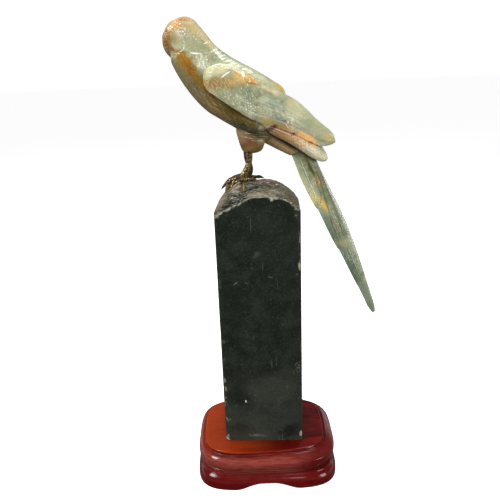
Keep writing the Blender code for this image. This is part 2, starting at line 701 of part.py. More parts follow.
def pin_line():
    """Two ends of the pin, from inside the near foot down into the column."""
    centre = foot_centre(NEAR_LEG, -1)
    bottom = stone_height(centre[0], centre[1]) - PIN_DEPTH
    return np.array(((centre[0], centre[1], centre[2]), (centre[0], centre[1], bottom)))


def pin_hole(group):
    ends = pin_line()
    ends[1, 2] -= FIT_GAP
    radius = PIN_RADIUS + FIT_GAP
    return limb("pin_hole", ends, (radius, radius), group, sides=12)


def leg(name, line, toes, side, group):
    path = leg_line(line, side)
    path = resample(path, 9)
    item = limb(name, path, LEG_RADIUS * np.array(LEG_SWELL), group)
    forms = collection(name + "_forms")
    centre = foot_centre(line, side)
    foot_pad(name + "_pad", centre, forms)
    for number, (turn, reach, drop, curl) in enumerate(toes):
        toe("%s_toe_%d" % (name, number), centre, turn, reach, drop, curl, forms)
    if side < 0:
        ends = pin_line()
        limb(name + "_pin", ends, (PIN_RADIUS, PIN_RADIUS), forms)
    boolean(item, "UNION", forms)
    return finish(item, (0.23, 0.16, 0.06), 0.42, metallic=1.0)


def stand_on_origin(parts, frame):
    """Moves parts and cutters together: the origin is the footprint's middle, on the ground."""
    bpy.context.view_layer.update()
    graph = bpy.context.evaluated_depsgraph_get()
    corners = []
    for item in parts:
        shape = item.evaluated_get(graph)
        corners += [shape.matrix_world @ v.co for v in shape.data.vertices]
    corners = np.array(corners)
    middle = (corners.min(axis=0) + corners.max(axis=0)) / 2
    for item in list(bpy.data.objects):
        if item is not frame:
            item.parent = frame
    frame.location = (-middle[0], -middle[1], 0.0)


def build():
    clear_scene()
    group = collection("crystal_parrot_carving")
    frame = bpy.data.objects.new("carving_frame", None)
    group.objects.link(frame)
    parts = [foot_board(group), top_board(group), stone_column(group)]
    parts.append(leg("left_leg", NEAR_LEG, NEAR_TOES, -1, group))
    parts.append(leg("right_leg", FAR_LEG, FAR_TOES, 1, group))
    parts.append(parrot_body(group))
    parts.append(parrot_tail(group))
    stand_on_origin(parts, frame)


build()
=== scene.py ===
"""Dressed model of a carved stone parrot on a stone column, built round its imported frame.

Lengths are metres and +Z is up. The bird looks towards -X, and -Y is its left side, which the
camera sees. Its forms are shares of its own height, out from the point where it perches.
"""

import itertools
import logging
import math
from dataclasses import dataclass, field
from enum import Enum
from typing import Callable, Sequence

import bmesh
import bpy
import numpy as np
from mathutils import Matrix, Vector


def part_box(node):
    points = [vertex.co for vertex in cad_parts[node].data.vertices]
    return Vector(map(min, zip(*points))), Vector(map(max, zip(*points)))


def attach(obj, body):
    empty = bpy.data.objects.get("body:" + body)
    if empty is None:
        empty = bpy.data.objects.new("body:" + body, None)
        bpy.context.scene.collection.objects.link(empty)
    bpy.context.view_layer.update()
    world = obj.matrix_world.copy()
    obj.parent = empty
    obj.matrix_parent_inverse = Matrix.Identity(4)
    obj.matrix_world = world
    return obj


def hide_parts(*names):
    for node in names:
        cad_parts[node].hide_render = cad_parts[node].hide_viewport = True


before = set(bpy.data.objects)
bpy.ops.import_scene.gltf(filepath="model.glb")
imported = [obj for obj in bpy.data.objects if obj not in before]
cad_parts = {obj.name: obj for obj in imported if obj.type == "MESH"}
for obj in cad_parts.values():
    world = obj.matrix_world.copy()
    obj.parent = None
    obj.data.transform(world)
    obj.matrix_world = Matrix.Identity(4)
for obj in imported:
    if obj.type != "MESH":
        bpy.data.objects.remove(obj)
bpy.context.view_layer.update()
log = logging.getLogger("carving")
Array = np.ndarray
Rows = Sequence[Sequence[float]]
Tone = tuple[float, float, float]
Item, Material, Tree = bpy.types.Object, bpy.types.Material, bpy.types.NodeTree
FULL_TURN = 2 * math.pi

STAND_LOW, STAND_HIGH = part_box("stand_top_board")
STAND_X = (STAND_LOW.x + STAND_HIGH.x) / 2
BOARD_TOP = STAND_HIGH.z
SEAT_GAP = .0003
COLUMN_BASE = BOARD_TOP + SEAT_GAP


class Side(Enum):
    """Which side of the bird's middle plane a form lies on."""

    LEFT = -1
    RIGHT = 1


class Trait(Enum):
    """Named values kept on the points of a mesh for its finish to read."""

    LINE = "carved_line"
    STROKE = "fine_stroke"
    ROUGH = "rough_stone"
    CHIP = "chipped"
    WING = "wing_feathers"
    # Painted shade in the crevices where one tail layer lies on the next.
    DUSK = "painted_seam_shade"


# Where the photo was taken from

EYE_PLACE = (STAND_X - .00935, -.5256, .3637)
EYE_PITCH = math.radians(15.9)
EYE_ROLL = math.radians(2.05)
FOCAL = 43.2
FILM_WIDTH = 36.0
PHOTO_WIDTH = 500.0


def eye_axes() -> tuple[Array, Array, Array]:
    """Right, up and backward directions of the view: tipped by the pitch, then by the roll."""
    down, ahead = math.sin(EYE_PITCH), math.cos(EYE_PITCH)
    upright, side = np.array((0.0, down, ahead)), np.array((1.0, 0.0, 0.0))
    c, s = math.cos(EYE_ROLL), math.sin(EYE_ROLL)
    return side * c - upright * s, side * s + upright * c, np.array((0.0, -ahead, down))


def seen_at(spot: Sequence[float], y: float) -> tuple[float, float]:
    """Where the sight line through a dot of the photo meets the upright plane at a depth.

    The line leaves the eye along right * (dot's x - middle) + up * (middle - dot's y) - back,
    both steps divided by the focal length in dots.

    Args:
        spot: the dot, from the photo's upper left corner.
        y: depth of the plane.

    Returns:
        X and z in the frame.
    """
    right, up, back = eye_axes()
    focal, middle = FOCAL / FILM_WIDTH * PHOTO_WIDTH, PHOTO_WIDTH / 2
    line = right * ((spot[0] - middle) / focal) + up * ((middle - spot[1]) / focal) - back
    met = np.array(EYE_PLACE) + line * ((y - EYE_PLACE[1]) / line[1])
    return float(met[0]), float(met[2])


# Mathematics of forms


def smooth_line(knots: Rows, place: Array | float) -> Array:
    """Smooth line through knots: a cubic between two knots, with the mean slope at each.

    Args:
        knots: rows of a place and its values, in rising order of place.
        place: where to read the line; places past the ends read the end values.

    Returns:
        A value for each place, or a last axis of values where the knots have several.
    """
    table = np.asarray(knots, dtype=float)
    x, y = table[:, 0], table[:, 1:]
    place = np.clip(np.asarray(place, dtype=float), x[0], x[-1])
    slope = np.gradient(y, x, axis=0)
    left = np.clip(np.searchsorted(x, place, side="right") - 1, 0, len(x) - 2)
    span = (x[left + 1] - x[left])[..., None]
    t = (place - x[left])[..., None] / span
    start = y[left] * (1 + 2 * t) * (1 - t) ** 2 + slope[left] * span * t * (1 - t) ** 2
    end = y[left + 1] * (3 - 2 * t) * t**2 - slope[left + 1] * span * (1 - t) * t**2
    value = start + end
    return value[..., 0] if y.shape[1] == 1 else value


def read_rows(rows: Rows, steps: Array) -> Array:
    """Rows of numbers read at fractional row numbers along a smooth line through them."""
    number = np.arange(len(rows), dtype=float)[:, None]
    return smooth_line(np.hstack((number, np.asarray(rows, dtype=float))), steps)


def oval(count: int, squareness: float) -> tuple[Array, Array]:
    """Closed outline of half size one: |x|^n + |y|^n = 1 with n the squareness."""
    turn = np.arange(count) * FULL_TURN / count
    c, s = np.cos(turn), np.sin(turn)
    power = 2.0 / squareness
    return np.sign(c) * np.abs(c) ** power, np.sign(s) * np.abs(s) ** power


def ease(value: Array, low: float, high: float) -> Array:
    """Smooth step from 0 at low to 1 at high: 3t^2 - 2t^3."""
    t = np.clip((value - low) / (high - low), 0.0, 1.0)
    return t * t * (3 - 2 * t)


def joined(*parts: Array) -> Array:
    """Arrays side by side on a new last axis."""
    return np.stack(parts, axis=-1)


def hump(distance: Array, width: float) -> Array:
    """Round hump of height one: exp of minus the square of distance over width."""
    return np.exp(-((distance / width) ** 2))


def lattice(rows: int, lanes: int) -> tuple[Array, Array]:
    """Two parameters from 0 to 1 over a grid of rows and lanes."""
    return np.meshgrid(np.linspace(0, 1, rows), np.linspace(0, 1, lanes), indexing="ij")


def cell_value(cell: Array, seed: int) -> Array:
    """Even value from 0 to 1 for each whole-number cell, mixed from its three numbers."""
    mixed = cell[..., 0] * 374761393 + cell[..., 1] * 668265263 + cell[..., 2] * 69069 + seed * 7919
    mixed = (mixed ^ (mixed >> 13)) * 1274126177
    return ((mixed ^ (mixed >> 16)) & 0xFFFF) / 65535.0


def value_noise(points: Array, seed: int) -> Array:
    """Smooth noise from -1 to 1: eased blend of the values at a unit lattice's eight corners."""
    cell = np.floor(points).astype(np.int64)
    part = points - cell
    part = part * part * (3 - 2 * part)
    total = np.zeros(points.shape[:-1])
    for corner in itertools.product((0, 1), repeat=3):
        step = np.array(corner)
        share = np.prod(np.where(step == 1, part, 1 - part), axis=-1)
        total += share * cell_value(cell + step, seed)
    return 2 * total - 1


def layered_noise(points: Array, size: float, octaves: int, seed: int) -> Array:
    """Sum of noises, each twice as fine and half as strong as the one before."""
    total = np.zeros(points.shape[:-1])
    for octave in range(octaves):
        total += value_noise(points * 2**octave / size, seed + octave) / 2**octave
    return total


def overlapping_scales(p: Array, q: Array) -> tuple[Array, Array]:
    """Rows of round-tipped scales that lap like tiles.

    A scale rises evenly from its root to a tip line at 1 + 0.75 * sqrt(1 - y^2), with y from -1
    to 1 across it, and every second row is shifted by half a scale.

    Args:
        p: place along the rows, one unit a row.
        q: place across them, one unit a scale.

    Returns:
        The height and how near a scale's edge is, both 0 to 1.
    """
    height, edge = np.zeros(np.shape(p)), np.zeros(np.shape(p))
    for parity in (0, 1):
        y = 2 * ((q + .5 * parity) % 1.0) - 1
        x = (p - parity) % 2.0
        tip = 1.0 + .75 * np.sqrt(1 - y * y)
        rise = np.where(x < tip, .3 + .7 * x / tip, 0.0)
        edge = np.where(rise > height, hump(x - tip, .12), edge)
        height = np.maximum(height, rise)
    return height, edge


def surface_normals(grid: Array) -> Array:
    """Unit normals of a grid of points, from the cross product of its two slopes."""
    down = np.gradient(grid, axis=0)
    along = np.gradient(grid, axis=1)
    normal = np.cross(down, along)
    size = np.linalg.norm(normal, axis=-1, keepdims=True)
    return normal / np.maximum(size, 1e-12)


# Meshes, and the angles in degrees past which an edge of a piece stays sharp

COLUMN_CREASE, BOARD_CREASE, BRASS_CREASE, CARVED_CREASE = 48.0, 50.0, 40.0, 62.0


@dataclass
class Shell:
    """Closed surface before it becomes a mesh: points, faces, and what its finish reads."""

    points: Array
    quads: Array
    triangles: Array
    strokes: Array
    traits: dict[Trait, Array] = field(default_factory=dict)

    def mesh(self, name: str) -> bpy.types.Mesh:
        """Puts the surface into a mesh with outward faces, its stroke map and its traits."""
        mesh = bpy.data.meshes.new(name)
        faces = [tuple(face) for face in self.quads.tolist()]
        faces += [tuple(face) for face in self.triangles.tolist()]
        mesh.from_pydata(self.points.tolist(), [], faces)
        body = bmesh.new()
        body.from_mesh(mesh)
        bmesh.ops.recalc_face_normals(body, faces=body.faces)
        body.to_mesh(mesh)
        body.free()
        corners = np.empty(len(mesh.loops), dtype=np.int32)
        mesh.loops.foreach_get("vertex_index", corners)
        layer = mesh.uv_layers.new(name="strokes")
        layer.data.foreach_set("uv", self.strokes[corners].astype(np.float32).ravel())
        for trait, values in self.traits.items():
            store = mesh.attributes.new(trait.value, "FLOAT", "POINT")
            store.data.foreach_set("value", values.astype(np.float32).ravel())
        return mesh


def grid_quads(rows: int, lanes: int, closed: bool) -> Array:
    """Four-sided faces of a grid of rows and lanes, closed round its lanes or open."""
    reach = lanes if closed else lanes - 1
    i, j = np.meshgrid(np.arange(rows - 1), np.arange(reach), indexing="ij")
    k = (j + 1) % lanes
    quads = (i * lanes + j, i * lanes + k, (i + 1) * lanes + k, (i + 1) * lanes + j)
    return np.stack(quads, axis=-1).reshape(-1, 4)


def tube(rings: Array, strokes: Array, traits: dict[Trait, Array] | None = None) -> Shell:
    """Closed skin over rings of points, each end drawn to its own middle point.

    Args:
        rings: points as rings, points round each ring, and three coordinates.
        strokes: two stroke coordinates for each point.
        traits: values for each point.

    Returns:
        The closed surface.
    """
    count, lanes = rings.shape[:2]
    ends = np.stack((rings[0].mean(axis=0), rings[-1].mean(axis=0)))
    first, last, top = count * lanes, count * lanes + 1, (count - 1) * lanes
    j = np.arange(lanes)
    k = (j + 1) % lanes
    caps = np.vstack((np.stack((np.full(lanes, first), k, j), axis=1),
                      np.stack((np.full(lanes, last), top + j, top + k), axis=1)))
    ends_strokes = np.stack((strokes[0].mean(axis=0), strokes[-1].mean(axis=0)))
    kept = {trait: np.append(values.ravel(), (values[0].mean(), values[-1].mean()))
            for trait, values in (traits or {}).items()}
    return Shell(np.vstack((rings.reshape(-1, 3), ends)), grid_quads(count, lanes, True), caps,
                 np.vstack((strokes.reshape(-1, 2), ends_strokes)), kept)


def slab(outer: Array, inner: Array, strokes: Array, traits: dict[Trait, Array] | None = None) -> Shell:
    """Closed body between two grids of the same size, with a wall round their edges.

    Args:
        outer: grid of points of the face that shows.
        inner: grid of points behind it.
        strokes: two stroke coordinates for each point.
        traits: values for each point of the outer grid; the inner one gets none.

    Returns:
        The closed surface.
    """
    rows, lanes = outer.shape[:2]
    back = rows * lanes
    face = grid_quads(rows, lanes, False)
    rim = np.concatenate((np.arange(lanes), np.arange(1, rows) * lanes + lanes - 1,
                          (rows - 1) * lanes + np.arange(lanes - 2, -1, -1),
                          np.arange(rows - 2, 0, -1) * lanes))
    ahead = np.roll(rim, -1)
    wall = np.stack((ahead, rim, back + rim, back + ahead), axis=1)
    kept = {trait: np.append(values.ravel(), np.zeros(back)) for trait, values in (traits or {}).items()}
    flat = strokes.reshape(-1, 2)
    return Shell(np.vstack((outer.reshape(-1, 3), inner.reshape(-1, 3))),
                 np.vstack((face, back + face[:, ::-1], wall)), np.empty((0, 3), dtype=int),
                 np.vstack((flat, flat)), kept)


def swept_limb(path: Array, radii: Array, around: int,
               relief: Callable[[Array, Array], Array] | None = None) -> Shell:
    """Round limb along a path: each ring stands square to it, with its radius plus the relief.

    Args:
        path: points along the middle of the limb.
        radii: radius at each point.
        around: points round each ring.
        relief: extra radius from the share of the length and the turn.

    Returns:
        The closed surface.
    """
    ahead = np.gradient(path, axis=0)
    ahead /= np.linalg.norm(ahead, axis=1)[:, None]
    across = np.cross(ahead, (0.0, 1.0, 0.0))
    across /= np.linalg.norm(across, axis=1)[:, None]
    beside = np.cross(ahead, across)
    turn = np.arange(around) * FULL_TURN / around
    share = np.linspace(0, 1, len(path))[:, None] + 0 * turn
    radius = radii[:, None] + (relief(share, turn + 0 * share) if relief else 0.0)
    spokes = across[:, None] * np.cos(turn)[:, None] + beside[:, None] * np.sin(turn)[:, None]
    rings = path[:, None] + radius[..., None] * spokes
    strokes = joined(share, np.abs(turn / math.pi - 1) + 0 * share)
    return tube(rings, strokes)


def linked(name: str, mesh: bpy.types.Mesh) -> Item:
    """New object of the scene with a mesh."""
    item = bpy.data.objects.new(name, mesh)
    bpy.context.scene.collection.objects.link(item)
    return item


def united(name: str, shells: Sequence[Shell], sharp_angle: float, cuts: Sequence[Shell] = ()) -> Item:
    """Joins closed surfaces into one closed, smooth-shaded mesh.

    Args:
        name: name of the new object.
        shells: surfaces that overlap; the first is the base.
        sharp_angle: angle in degrees past which an edge stays sharp.
        cuts: closed surfaces taken away from it.

    Returns:
        The object, at the origin.
    """
    base = linked(name, shells[0].mesh(name))
    steps = [("UNION", shell) for shell in shells[1:]]
    steps += [("DIFFERENCE", shell) for shell in cuts]
    others = []
    for number, (operation, shell) in enumerate(steps):
        word = "%s_form_%d" % (name, number)
        others.append(linked(word, shell.mesh(word)))
        join = base.modifiers.new("join", "BOOLEAN")
        join.operation, join.solver, join.object = operation, "MANIFOLD", others[-1]
    graph = bpy.context.evaluated_depsgraph_get()
    whole = bpy.data.meshes.new_from_object(base.evaluated_get(graph), depsgraph=graph)
    base.modifiers.clear()
    base.data = whole
    whole.name = name
    for other in others:
        bpy.data.objects.remove(other, do_unlink=True)
    whole.shade_smooth()
    whole.set_sharp_from_angle(angle=math.radians(sharp_angle))
    return base


@dataclass
class Piece:
    """A finished piece of the carving and where it belongs in the frame."""

    item: Item
    node: str
    slot: str

    def seat(self, finish: Material) -> None:
        """Gives the piece its finish and makes it stand for its node."""
        self.item.data.materials.clear()
        self.item.data.materials.append(finish)
        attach(self.item, "root")
        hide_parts(self.node)
        faces = len(self.item.data.polygons)
        log.info("%s: %d faces, finish %s", self.item.name, faces, finish.name)


# The stone column

COLUMN_WIDTH = .0747
COLUMN_DEPTH = .06
COLUMN_TAPER = .0017
COLUMN_SHOULDER = .219
COLUMN_X = STAND_X - .0009
COLUMN_TURN = math.radians(-2.9)
COLUMN_SQUARENESS = 16.0
DOME_RISE = .023
DOME_FRONT_DROP = .009
TOP_WEAR = .0019
FACE_WAVE = .00006

# Chips out of the column's edges: side, front or back, share of the height, and radius

CHIPS = (
    (1, -1, .955, .0042), (1, -1, .885, .0028), (1, -1, .742, .0036), (-1, -1, .245, .003),
    (-1, -1, .205, .0024), (-1, -1, .03, .0036), (1, -1, .03, .0036), (-1, 1, .62, .0034),
    (-1, -1, .99, .004), (1, -1, .62, .0014), (-1, -1, .52, .0013), (1, 1, .4, .0028))
CHIP_STRETCH = 2.2
CHIP_STAND_OFF = .45

# Upper edge of the dark front face: share of the half width and height on the column

FACE_EDGE = (
    (-1, .2135), (-.97, .2151), (-.74, .2214), (-.38, .2282), (-.1, .233), (.2, .2326), (.5, .2312),
    (.7, .2281), (.87, .2241), (1, .2215))


def dome(x: Array, y: Array) -> Array:
    """Height of the stone's unworn top over its base.

    A shoulder plus a crown that falls to the sides as a power of the distance, lower to the
    front, with a hollow where the front left corner is broken.

    Args:
        x: share of the half width.
        y: share of the half depth, -1 at the front.

    Returns:
        The height in metres.
    """
    across = np.clip(np.abs(x), 0.0, 1.0)
    to_front = np.clip((.35 - y) / 1.35, 0.0, 1.0)
    to_back = np.clip((y - .35) / .65, 0.0, 1.0)
    crown = DOME_RISE - DOME_FRONT_DROP * to_front**.9 - .35 * DOME_RISE * to_back**2
    power = 2.6 + 1.2 * to_front
    arch = (1.0 - across**power) ** .78
    broken = np.exp(-(((x + .56) / .28) ** 2) - ((y + 1.05) / .55) ** 2)
    lumps = .035 * np.sin(7.1 * x + 2.3 * y) * np.cos(5.3 * y - 3.1 * x)
    return COLUMN_SHOULDER + crown * arch * (1.0 + lumps) - .3 * DOME_RISE * broken * arch


def stone_height(x: Array, y: Array) -> Array:
    """Height above the ground of the stone's unworn top at a place in the frame."""
    c, s = math.cos(COLUMN_TURN), math.sin(COLUMN_TURN)
    dx, dy = np.asarray(x) - COLUMN_X, np.asarray(y)
    own_x = (dx * c + dy * s) / (COLUMN_WIDTH / 2)
    own_y = (-dx * s + dy * c) / (COLUMN_DEPTH / 2)
    return COLUMN_BASE + dome(own_x, own_y)


def column_point(x: Array, y: Array, z: Array) -> Array:
    """Places in the frame from shares of the half width and half depth and a height."""
    c, s = math.cos(COLUMN_TURN), math.sin(COLUMN_TURN)
    taper = COLUMN_TAPER * np.clip(1.0 - z / COLUMN_SHOULDER, 0.0, 1.0)
    own_x, own_y = x * (COLUMN_WIDTH - taper) / 2, y * COLUMN_DEPTH / 2
    return joined(COLUMN_X + own_x * c - own_y * s, own_x * s + own_y * c, COLUMN_BASE + z)


def even_outline(count: int, squareness: float) -> tuple[Array, Array]:
    """Outline |x|^n + |y|^n = 1 at even angles: the radius is (|cos|^n + |sin|^n)^(-1/n)."""
    turn = np.arange(count) * FULL_TURN / count
    c, s = np.cos(turn), np.sin(turn)
    radius = (np.abs(c) ** squareness + np.abs(s) ** squareness) ** (-1 / squareness)
    return radius * c, radius * s


@dataclass
class StoneColumn:
    """Dark block with semi-polished faces, chipped edges and a rough broken top."""

    around: int = 296
    wall_rings: int = 128
    top_rings: int = 72

    def wear(self, points: Array, share: Array) -> Array:
        """How deep the top is worn: layered noise bent into flat breaks, less towards the edge.

        Args:
            points: places on the unworn top.
            share: 1 at the edge of the top and 0 at its middle.

        Returns:
            Depths in metres.
        """
        coarse = layered_noise(points * (.45, 1.0, 1.6), .01, 3, 11)
        fine = layered_noise(points * (.35, 1.0, 2.2), .0034, 3, 23)
        breaks = np.abs(coarse) ** .7 * .7 + np.clip(fine, 0, None) * .22
        near_edge = 1 - .55 * ease(share, .86, 1.0)
        return TOP_WEAR * np.clip(breaks, 0, 1.1) * near_edge

    def chip_depth(self, points: Array) -> Array:
        """How deep the chips reach in at each point: the radius less the stretched distance."""
        depth = np.zeros(points.shape[:-1])
        ragged = 1 + .3 * layered_noise(points, .0022, 2, 31)
        for side, front, share, radius in CHIPS:
            off = CHIP_STAND_OFF * radius
            middle = column_point(np.array(side * (1 + 2 * off / COLUMN_WIDTH)),
                                  np.array(front * (1 + 2 * off / COLUMN_DEPTH)),
                                  np.array(share * COLUMN_SHOULDER))
            away = (points - middle) / (1.0, 1.0, CHIP_STRETCH)
            reach = radius * ragged - np.linalg.norm(away, axis=-1)
            depth = np.maximum(depth, reach)
        return np.clip(depth, 0, None)

    def nicks(self, points: Array, corner: Array) -> Array:
        """Small losses along the corners, where a noise rises over a threshold."""
        noise = layered_noise(points * (1.0, 1.0, .7), .004, 3, 47)
        return .0011 * np.clip(noise - .42, 0, .8) * corner

    def grid(self) -> tuple[Array, Array, Array]:
        """Rings up the walls and over the top, with their rough and chipped values."""
        x, y = even_outline(self.around, COLUMN_SQUARENESS)
        rise = np.linspace(0, 1, self.wall_rings)[:-1, None]
        wall = column_point(x + 0 * rise, y + 0 * rise, rise * dome(x, y))
        share = (1 - np.linspace(0, 1, self.top_rings + 1)[:-1, None] ** 1.15)
        top = column_point(x * share, y * share, dome(x * share, y * share))
        worn = self.wear(top, share + 0 * x)
        top[..., 2] -= worn
        wall[..., 2] -= rise**6 * worn[0]
        points = np.vstack((wall, top))
        corner = ease(np.abs(x * y), .8, .97)
        depth = self.chip_depth(points) + self.nicks(points, corner + 0 * points[..., 0])
        wave = FACE_WAVE * (1 + value_noise(points / .014, 5))
        middle = np.array((COLUMN_X, 0.0, 0.0))
        inward = (middle - points) * (1.0, 1.0, 0.0)
        inward /= np.linalg.norm(inward, axis=-1, keepdims=True) + 1e-9
        on_wall = np.vstack((np.ones((len(wall), self.around)), ease(share, .9, 1.0) + 0 * x))
        points = points + inward * (depth + wave * on_wall)[..., None]
        edge = COLUMN_BASE + smooth_line(FACE_EDGE, x)
        ragged = .0016 * layered_noise(points, .0045, 3, 59)
        above = ease(points[..., 2] + ragged - edge, -.0006, .0008)
        rough = np.maximum(above, np.vstack((np.zeros((len(wall), 1)), 1 - ease(share, .93, 1.0))))
        return points, rough, np.clip(depth / .0007, 0, 1)

    def build(self) -> Piece:
        """Closes the rings into the column and cuts the hole for the pin."""
        points, rough, chipped = self.grid()
        strokes = points[..., (0, 2)] * 100
        shell = tube(points, strokes, {Trait.ROUGH: rough, Trait.CHIP: chipped})
        item = united("stone_column_dressed", [shell], COLUMN_CREASE, [pin_hole()])
        return Piece(item, "stone_column", "column_stone")


# The lacquered stand

FIT_GAP = .0003
PANEL_WIDTH = .119
PANEL_DEPTH = .101
PANEL_SQUARENESS = 3.7
FOOT_SQUARENESS = 4.6
FOOT_BOARD_HEIGHT = .015
TOP_BOARD_HEIGHT = .0197
ARCH_HEIGHT = .0078
ARCH_SLOPE = .85
FOOT_WIDTH = .025
PANEL_SKEW = .0042
PANEL_SKEW_TURN = math.radians(30)

# Mouldings of the two boards: share of the height and distance out from the panel's outline

TOP_PROFILE = (
    (0, .0018), (.03, .0023), (.1, .0026), (.17, .0034), (.21, .0041), (.235, .0037), (.26, .0043),
    (.36, .0052), (.5, .0056), (.62, .0054), (.7, .005), (.78, .0043), (.83, .0034), (.86, .0026),
    (.865, .0016), (.84, .0008), (.86, .0001), (.93, -.0003), (.985, -.0008), (1, -.0016))
FOOT_PROFILE = (
    (0, .0044), (.02, .0048), (.12, .006), (.34, .0063), (.56, .0061), (.78, .0046), (.93, .0028),
    (.98, .0023), (1, .0018))


@dataclass
class StandBoards:
    """Two moulded boards, the lower one cut to four feet by arches that cross under it."""

    around: int = 320
    across_rings: int = 46

    def profile_rings(self, profile: Rows, count: int) -> Array:
        """Fine steps of a moulding, read along its own length so that curves stay round."""
        rows = np.asarray(profile)
        return read_rows(rows, np.linspace(0, len(rows) - 1, count))

    def grown(self, squareness: float, outset: Array) -> tuple[Array, Array]:
        """Points of the panel's outline grown by each outset."""
        x, y = even_outline(self.around, squareness)
        out = outset[:, None]
        return x * (PANEL_WIDTH / 2 + out), y * (PANEL_DEPTH / 2 + out)

    def lid(self, x: Array, y: Array, z: Array, count: int) -> tuple[Array, Array, Array]:
        """Rings that shrink from a closed outline towards its middle."""
        share = np.linspace(1, 0, count + 1)[1:-1, None]
        return x * share, y * share, z + 0 * share * x

    def top_board(self) -> Piece:
        """Upper board: a swelling edge, a small step, and a flat panel."""
        base = FOOT_BOARD_HEIGHT + SEAT_GAP
        steps = self.profile_rings(TOP_PROFILE, 84)
        x, y = self.grown(PANEL_SQUARENESS, steps[:, 1])
        turn = np.arctan2(y[0], x[0])
        lean = (.5 + .5 * np.cos(turn + PANEL_SKEW_TURN)) ** 1.5
        drawn_in = PANEL_SKEW * lean * ease(steps[:, :1], .6, .87)
        x, y = x * (1 - drawn_in / PANEL_WIDTH * 2), y * (1 - drawn_in / PANEL_DEPTH * 2)
        z = base + steps[:, :1] * TOP_BOARD_HEIGHT + 0 * x
        lids = self.lid(x[-1], y[-1], z[-1], 18)
        rings = np.stack([np.vstack(pair) for pair in zip((x, y, z), lids)], axis=-1)
        rings[..., 0] += STAND_X
        item = united("stand_top_board_dressed", [tube(rings, rings[..., :2] * 100)], BOARD_CREASE)
        return Piece(item, "stand_top_board", "stand_lacquer")

    def arch(self, across: Array, half_span: float) -> Array:
        """Height of the arch under the board: an eased climb from each foot to a flat crown."""
        rise = np.clip((half_span - np.abs(across)) / (ARCH_SLOPE * half_span), 0.0, 1.0)
        return ARCH_HEIGHT * rise * rise * (3 - 2 * rise)

    def underside(self, x: Array, y: Array) -> Array:
        """Height of the under face: the higher of the two arches that cross there."""
        front = self.arch(x, PANEL_WIDTH / 2 - FOOT_WIDTH)
        side = self.arch(y, PANEL_DEPTH / 2 - FOOT_WIDTH)
        return np.maximum(front, side)

    def foot_board(self) -> Piece:
        """Lower board: its rings climb from the arched under face, over the edge, to the top."""
        steps = self.profile_rings(FOOT_PROFILE, 60)
        x, y = self.grown(FOOT_SQUARENESS, steps[:, 1])
        low = self.underside(x[:1], y[:1]) + 0 * x
        z = low + steps[:, :1] * (FOOT_BOARD_HEIGHT - low)
        outset = smooth_line(FOOT_PROFILE, z / FOOT_BOARD_HEIGHT)
        bare_x, bare_y = even_outline(self.around, FOOT_SQUARENESS)
        x, y = bare_x * (PANEL_WIDTH / 2 + outset), bare_y * (PANEL_DEPTH / 2 + outset)
        share = np.linspace(0, 1, self.across_rings + 1)[1:-1, None]
        under_x, under_y = x[0] * share, y[0] * share
        under = (under_x, under_y, self.underside(under_x, under_y))
        lids = self.lid(x[-1], y[-1], z[-1], 8)
        parts = [np.vstack(group) for group in zip(under, (x, y, z), lids)]
        rings = np.stack(parts, axis=-1)
        rings[..., 0] += STAND_X
        item = united("stand_foot_board_dressed", [tube(rings, rings[..., :2] * 100)], BOARD_CREASE)
        return Piece(item, "stand_foot_board", "stand_lacquer")


# The bird's frame of shares, and its legs

FIGURE_HEIGHT = .1435
PERCH_X = STAND_X - .01
LEG_SPREAD = .02
LEG_RADIUS = .003
SOCKET_DEPTH = .005
PIN_RADIUS = .0016
PIN_DEPTH = .006

NEAR_LEG = ((.02, .251), (.018, .174), (.006, .127), (-.026, .064))
FAR_LEG = ((.006, .251), (.008, .17), (.022, .112), (.01, .064))
LEG_SWELL = (1, 1, .96, .9, .88, .92, 1.02, 1.1, .95)

# Toes: heading in degrees, reach, drop, how late the drop comes, and girth

NEAR_TOES = ((8, .108, -.086, 5, 1), (-38, .086, -.045, 4, 1), (172, .09, -.018, 3, 1))
FAR_TOES = ((6, .172, -.084, 2.6, 1), (-24, .15, -.08, 2.6, 1), (168, .1, -.055, .6, .7))
TOE_LINE = ((0, .0021), (.25, .0022), (.5, .002), (.72, .0021), (.87, .0014), (.95, .0009), (1, .0004))


def figure_point(x: Array, z: Array, y: Array | float = 0.0) -> Array:
    """Places in the frame from shares of the bird's height, out from its perch."""
    perch_z = stone_height(PERCH_X, -LEG_SPREAD / 2)
    x, z, y = np.broadcast_arrays(x, z, y)
    return joined(PERCH_X + x * FIGURE_HEIGHT, y * FIGURE_HEIGHT, perch_z + z * FIGURE_HEIGHT)


def leg_line(line: Rows, side: Side) -> Array:
    """Places along a leg, from its top in the thigh down to the foot."""
    x, z = np.asarray(line).T
    return figure_point(x, z, side.value * LEG_SPREAD / 2 / FIGURE_HEIGHT)


def pin_ends() -> Array:
    """Ends of the pin, from inside the left foot down into the column."""
    centre = leg_line(NEAR_LEG, Side.LEFT)[-1]
    bottom = stone_height(centre[0], centre[1]) - PIN_DEPTH
    return np.array((centre, (centre[0], centre[1], bottom)))


def pin_hole() -> Shell:
    """Round hole for the pin, wider and deeper than the pin by the fit."""
    ends = pin_ends()
    ends[1, 2] -= FIT_GAP
    return swept_limb(ends, np.full(2, PIN_RADIUS + FIT_GAP), 24)


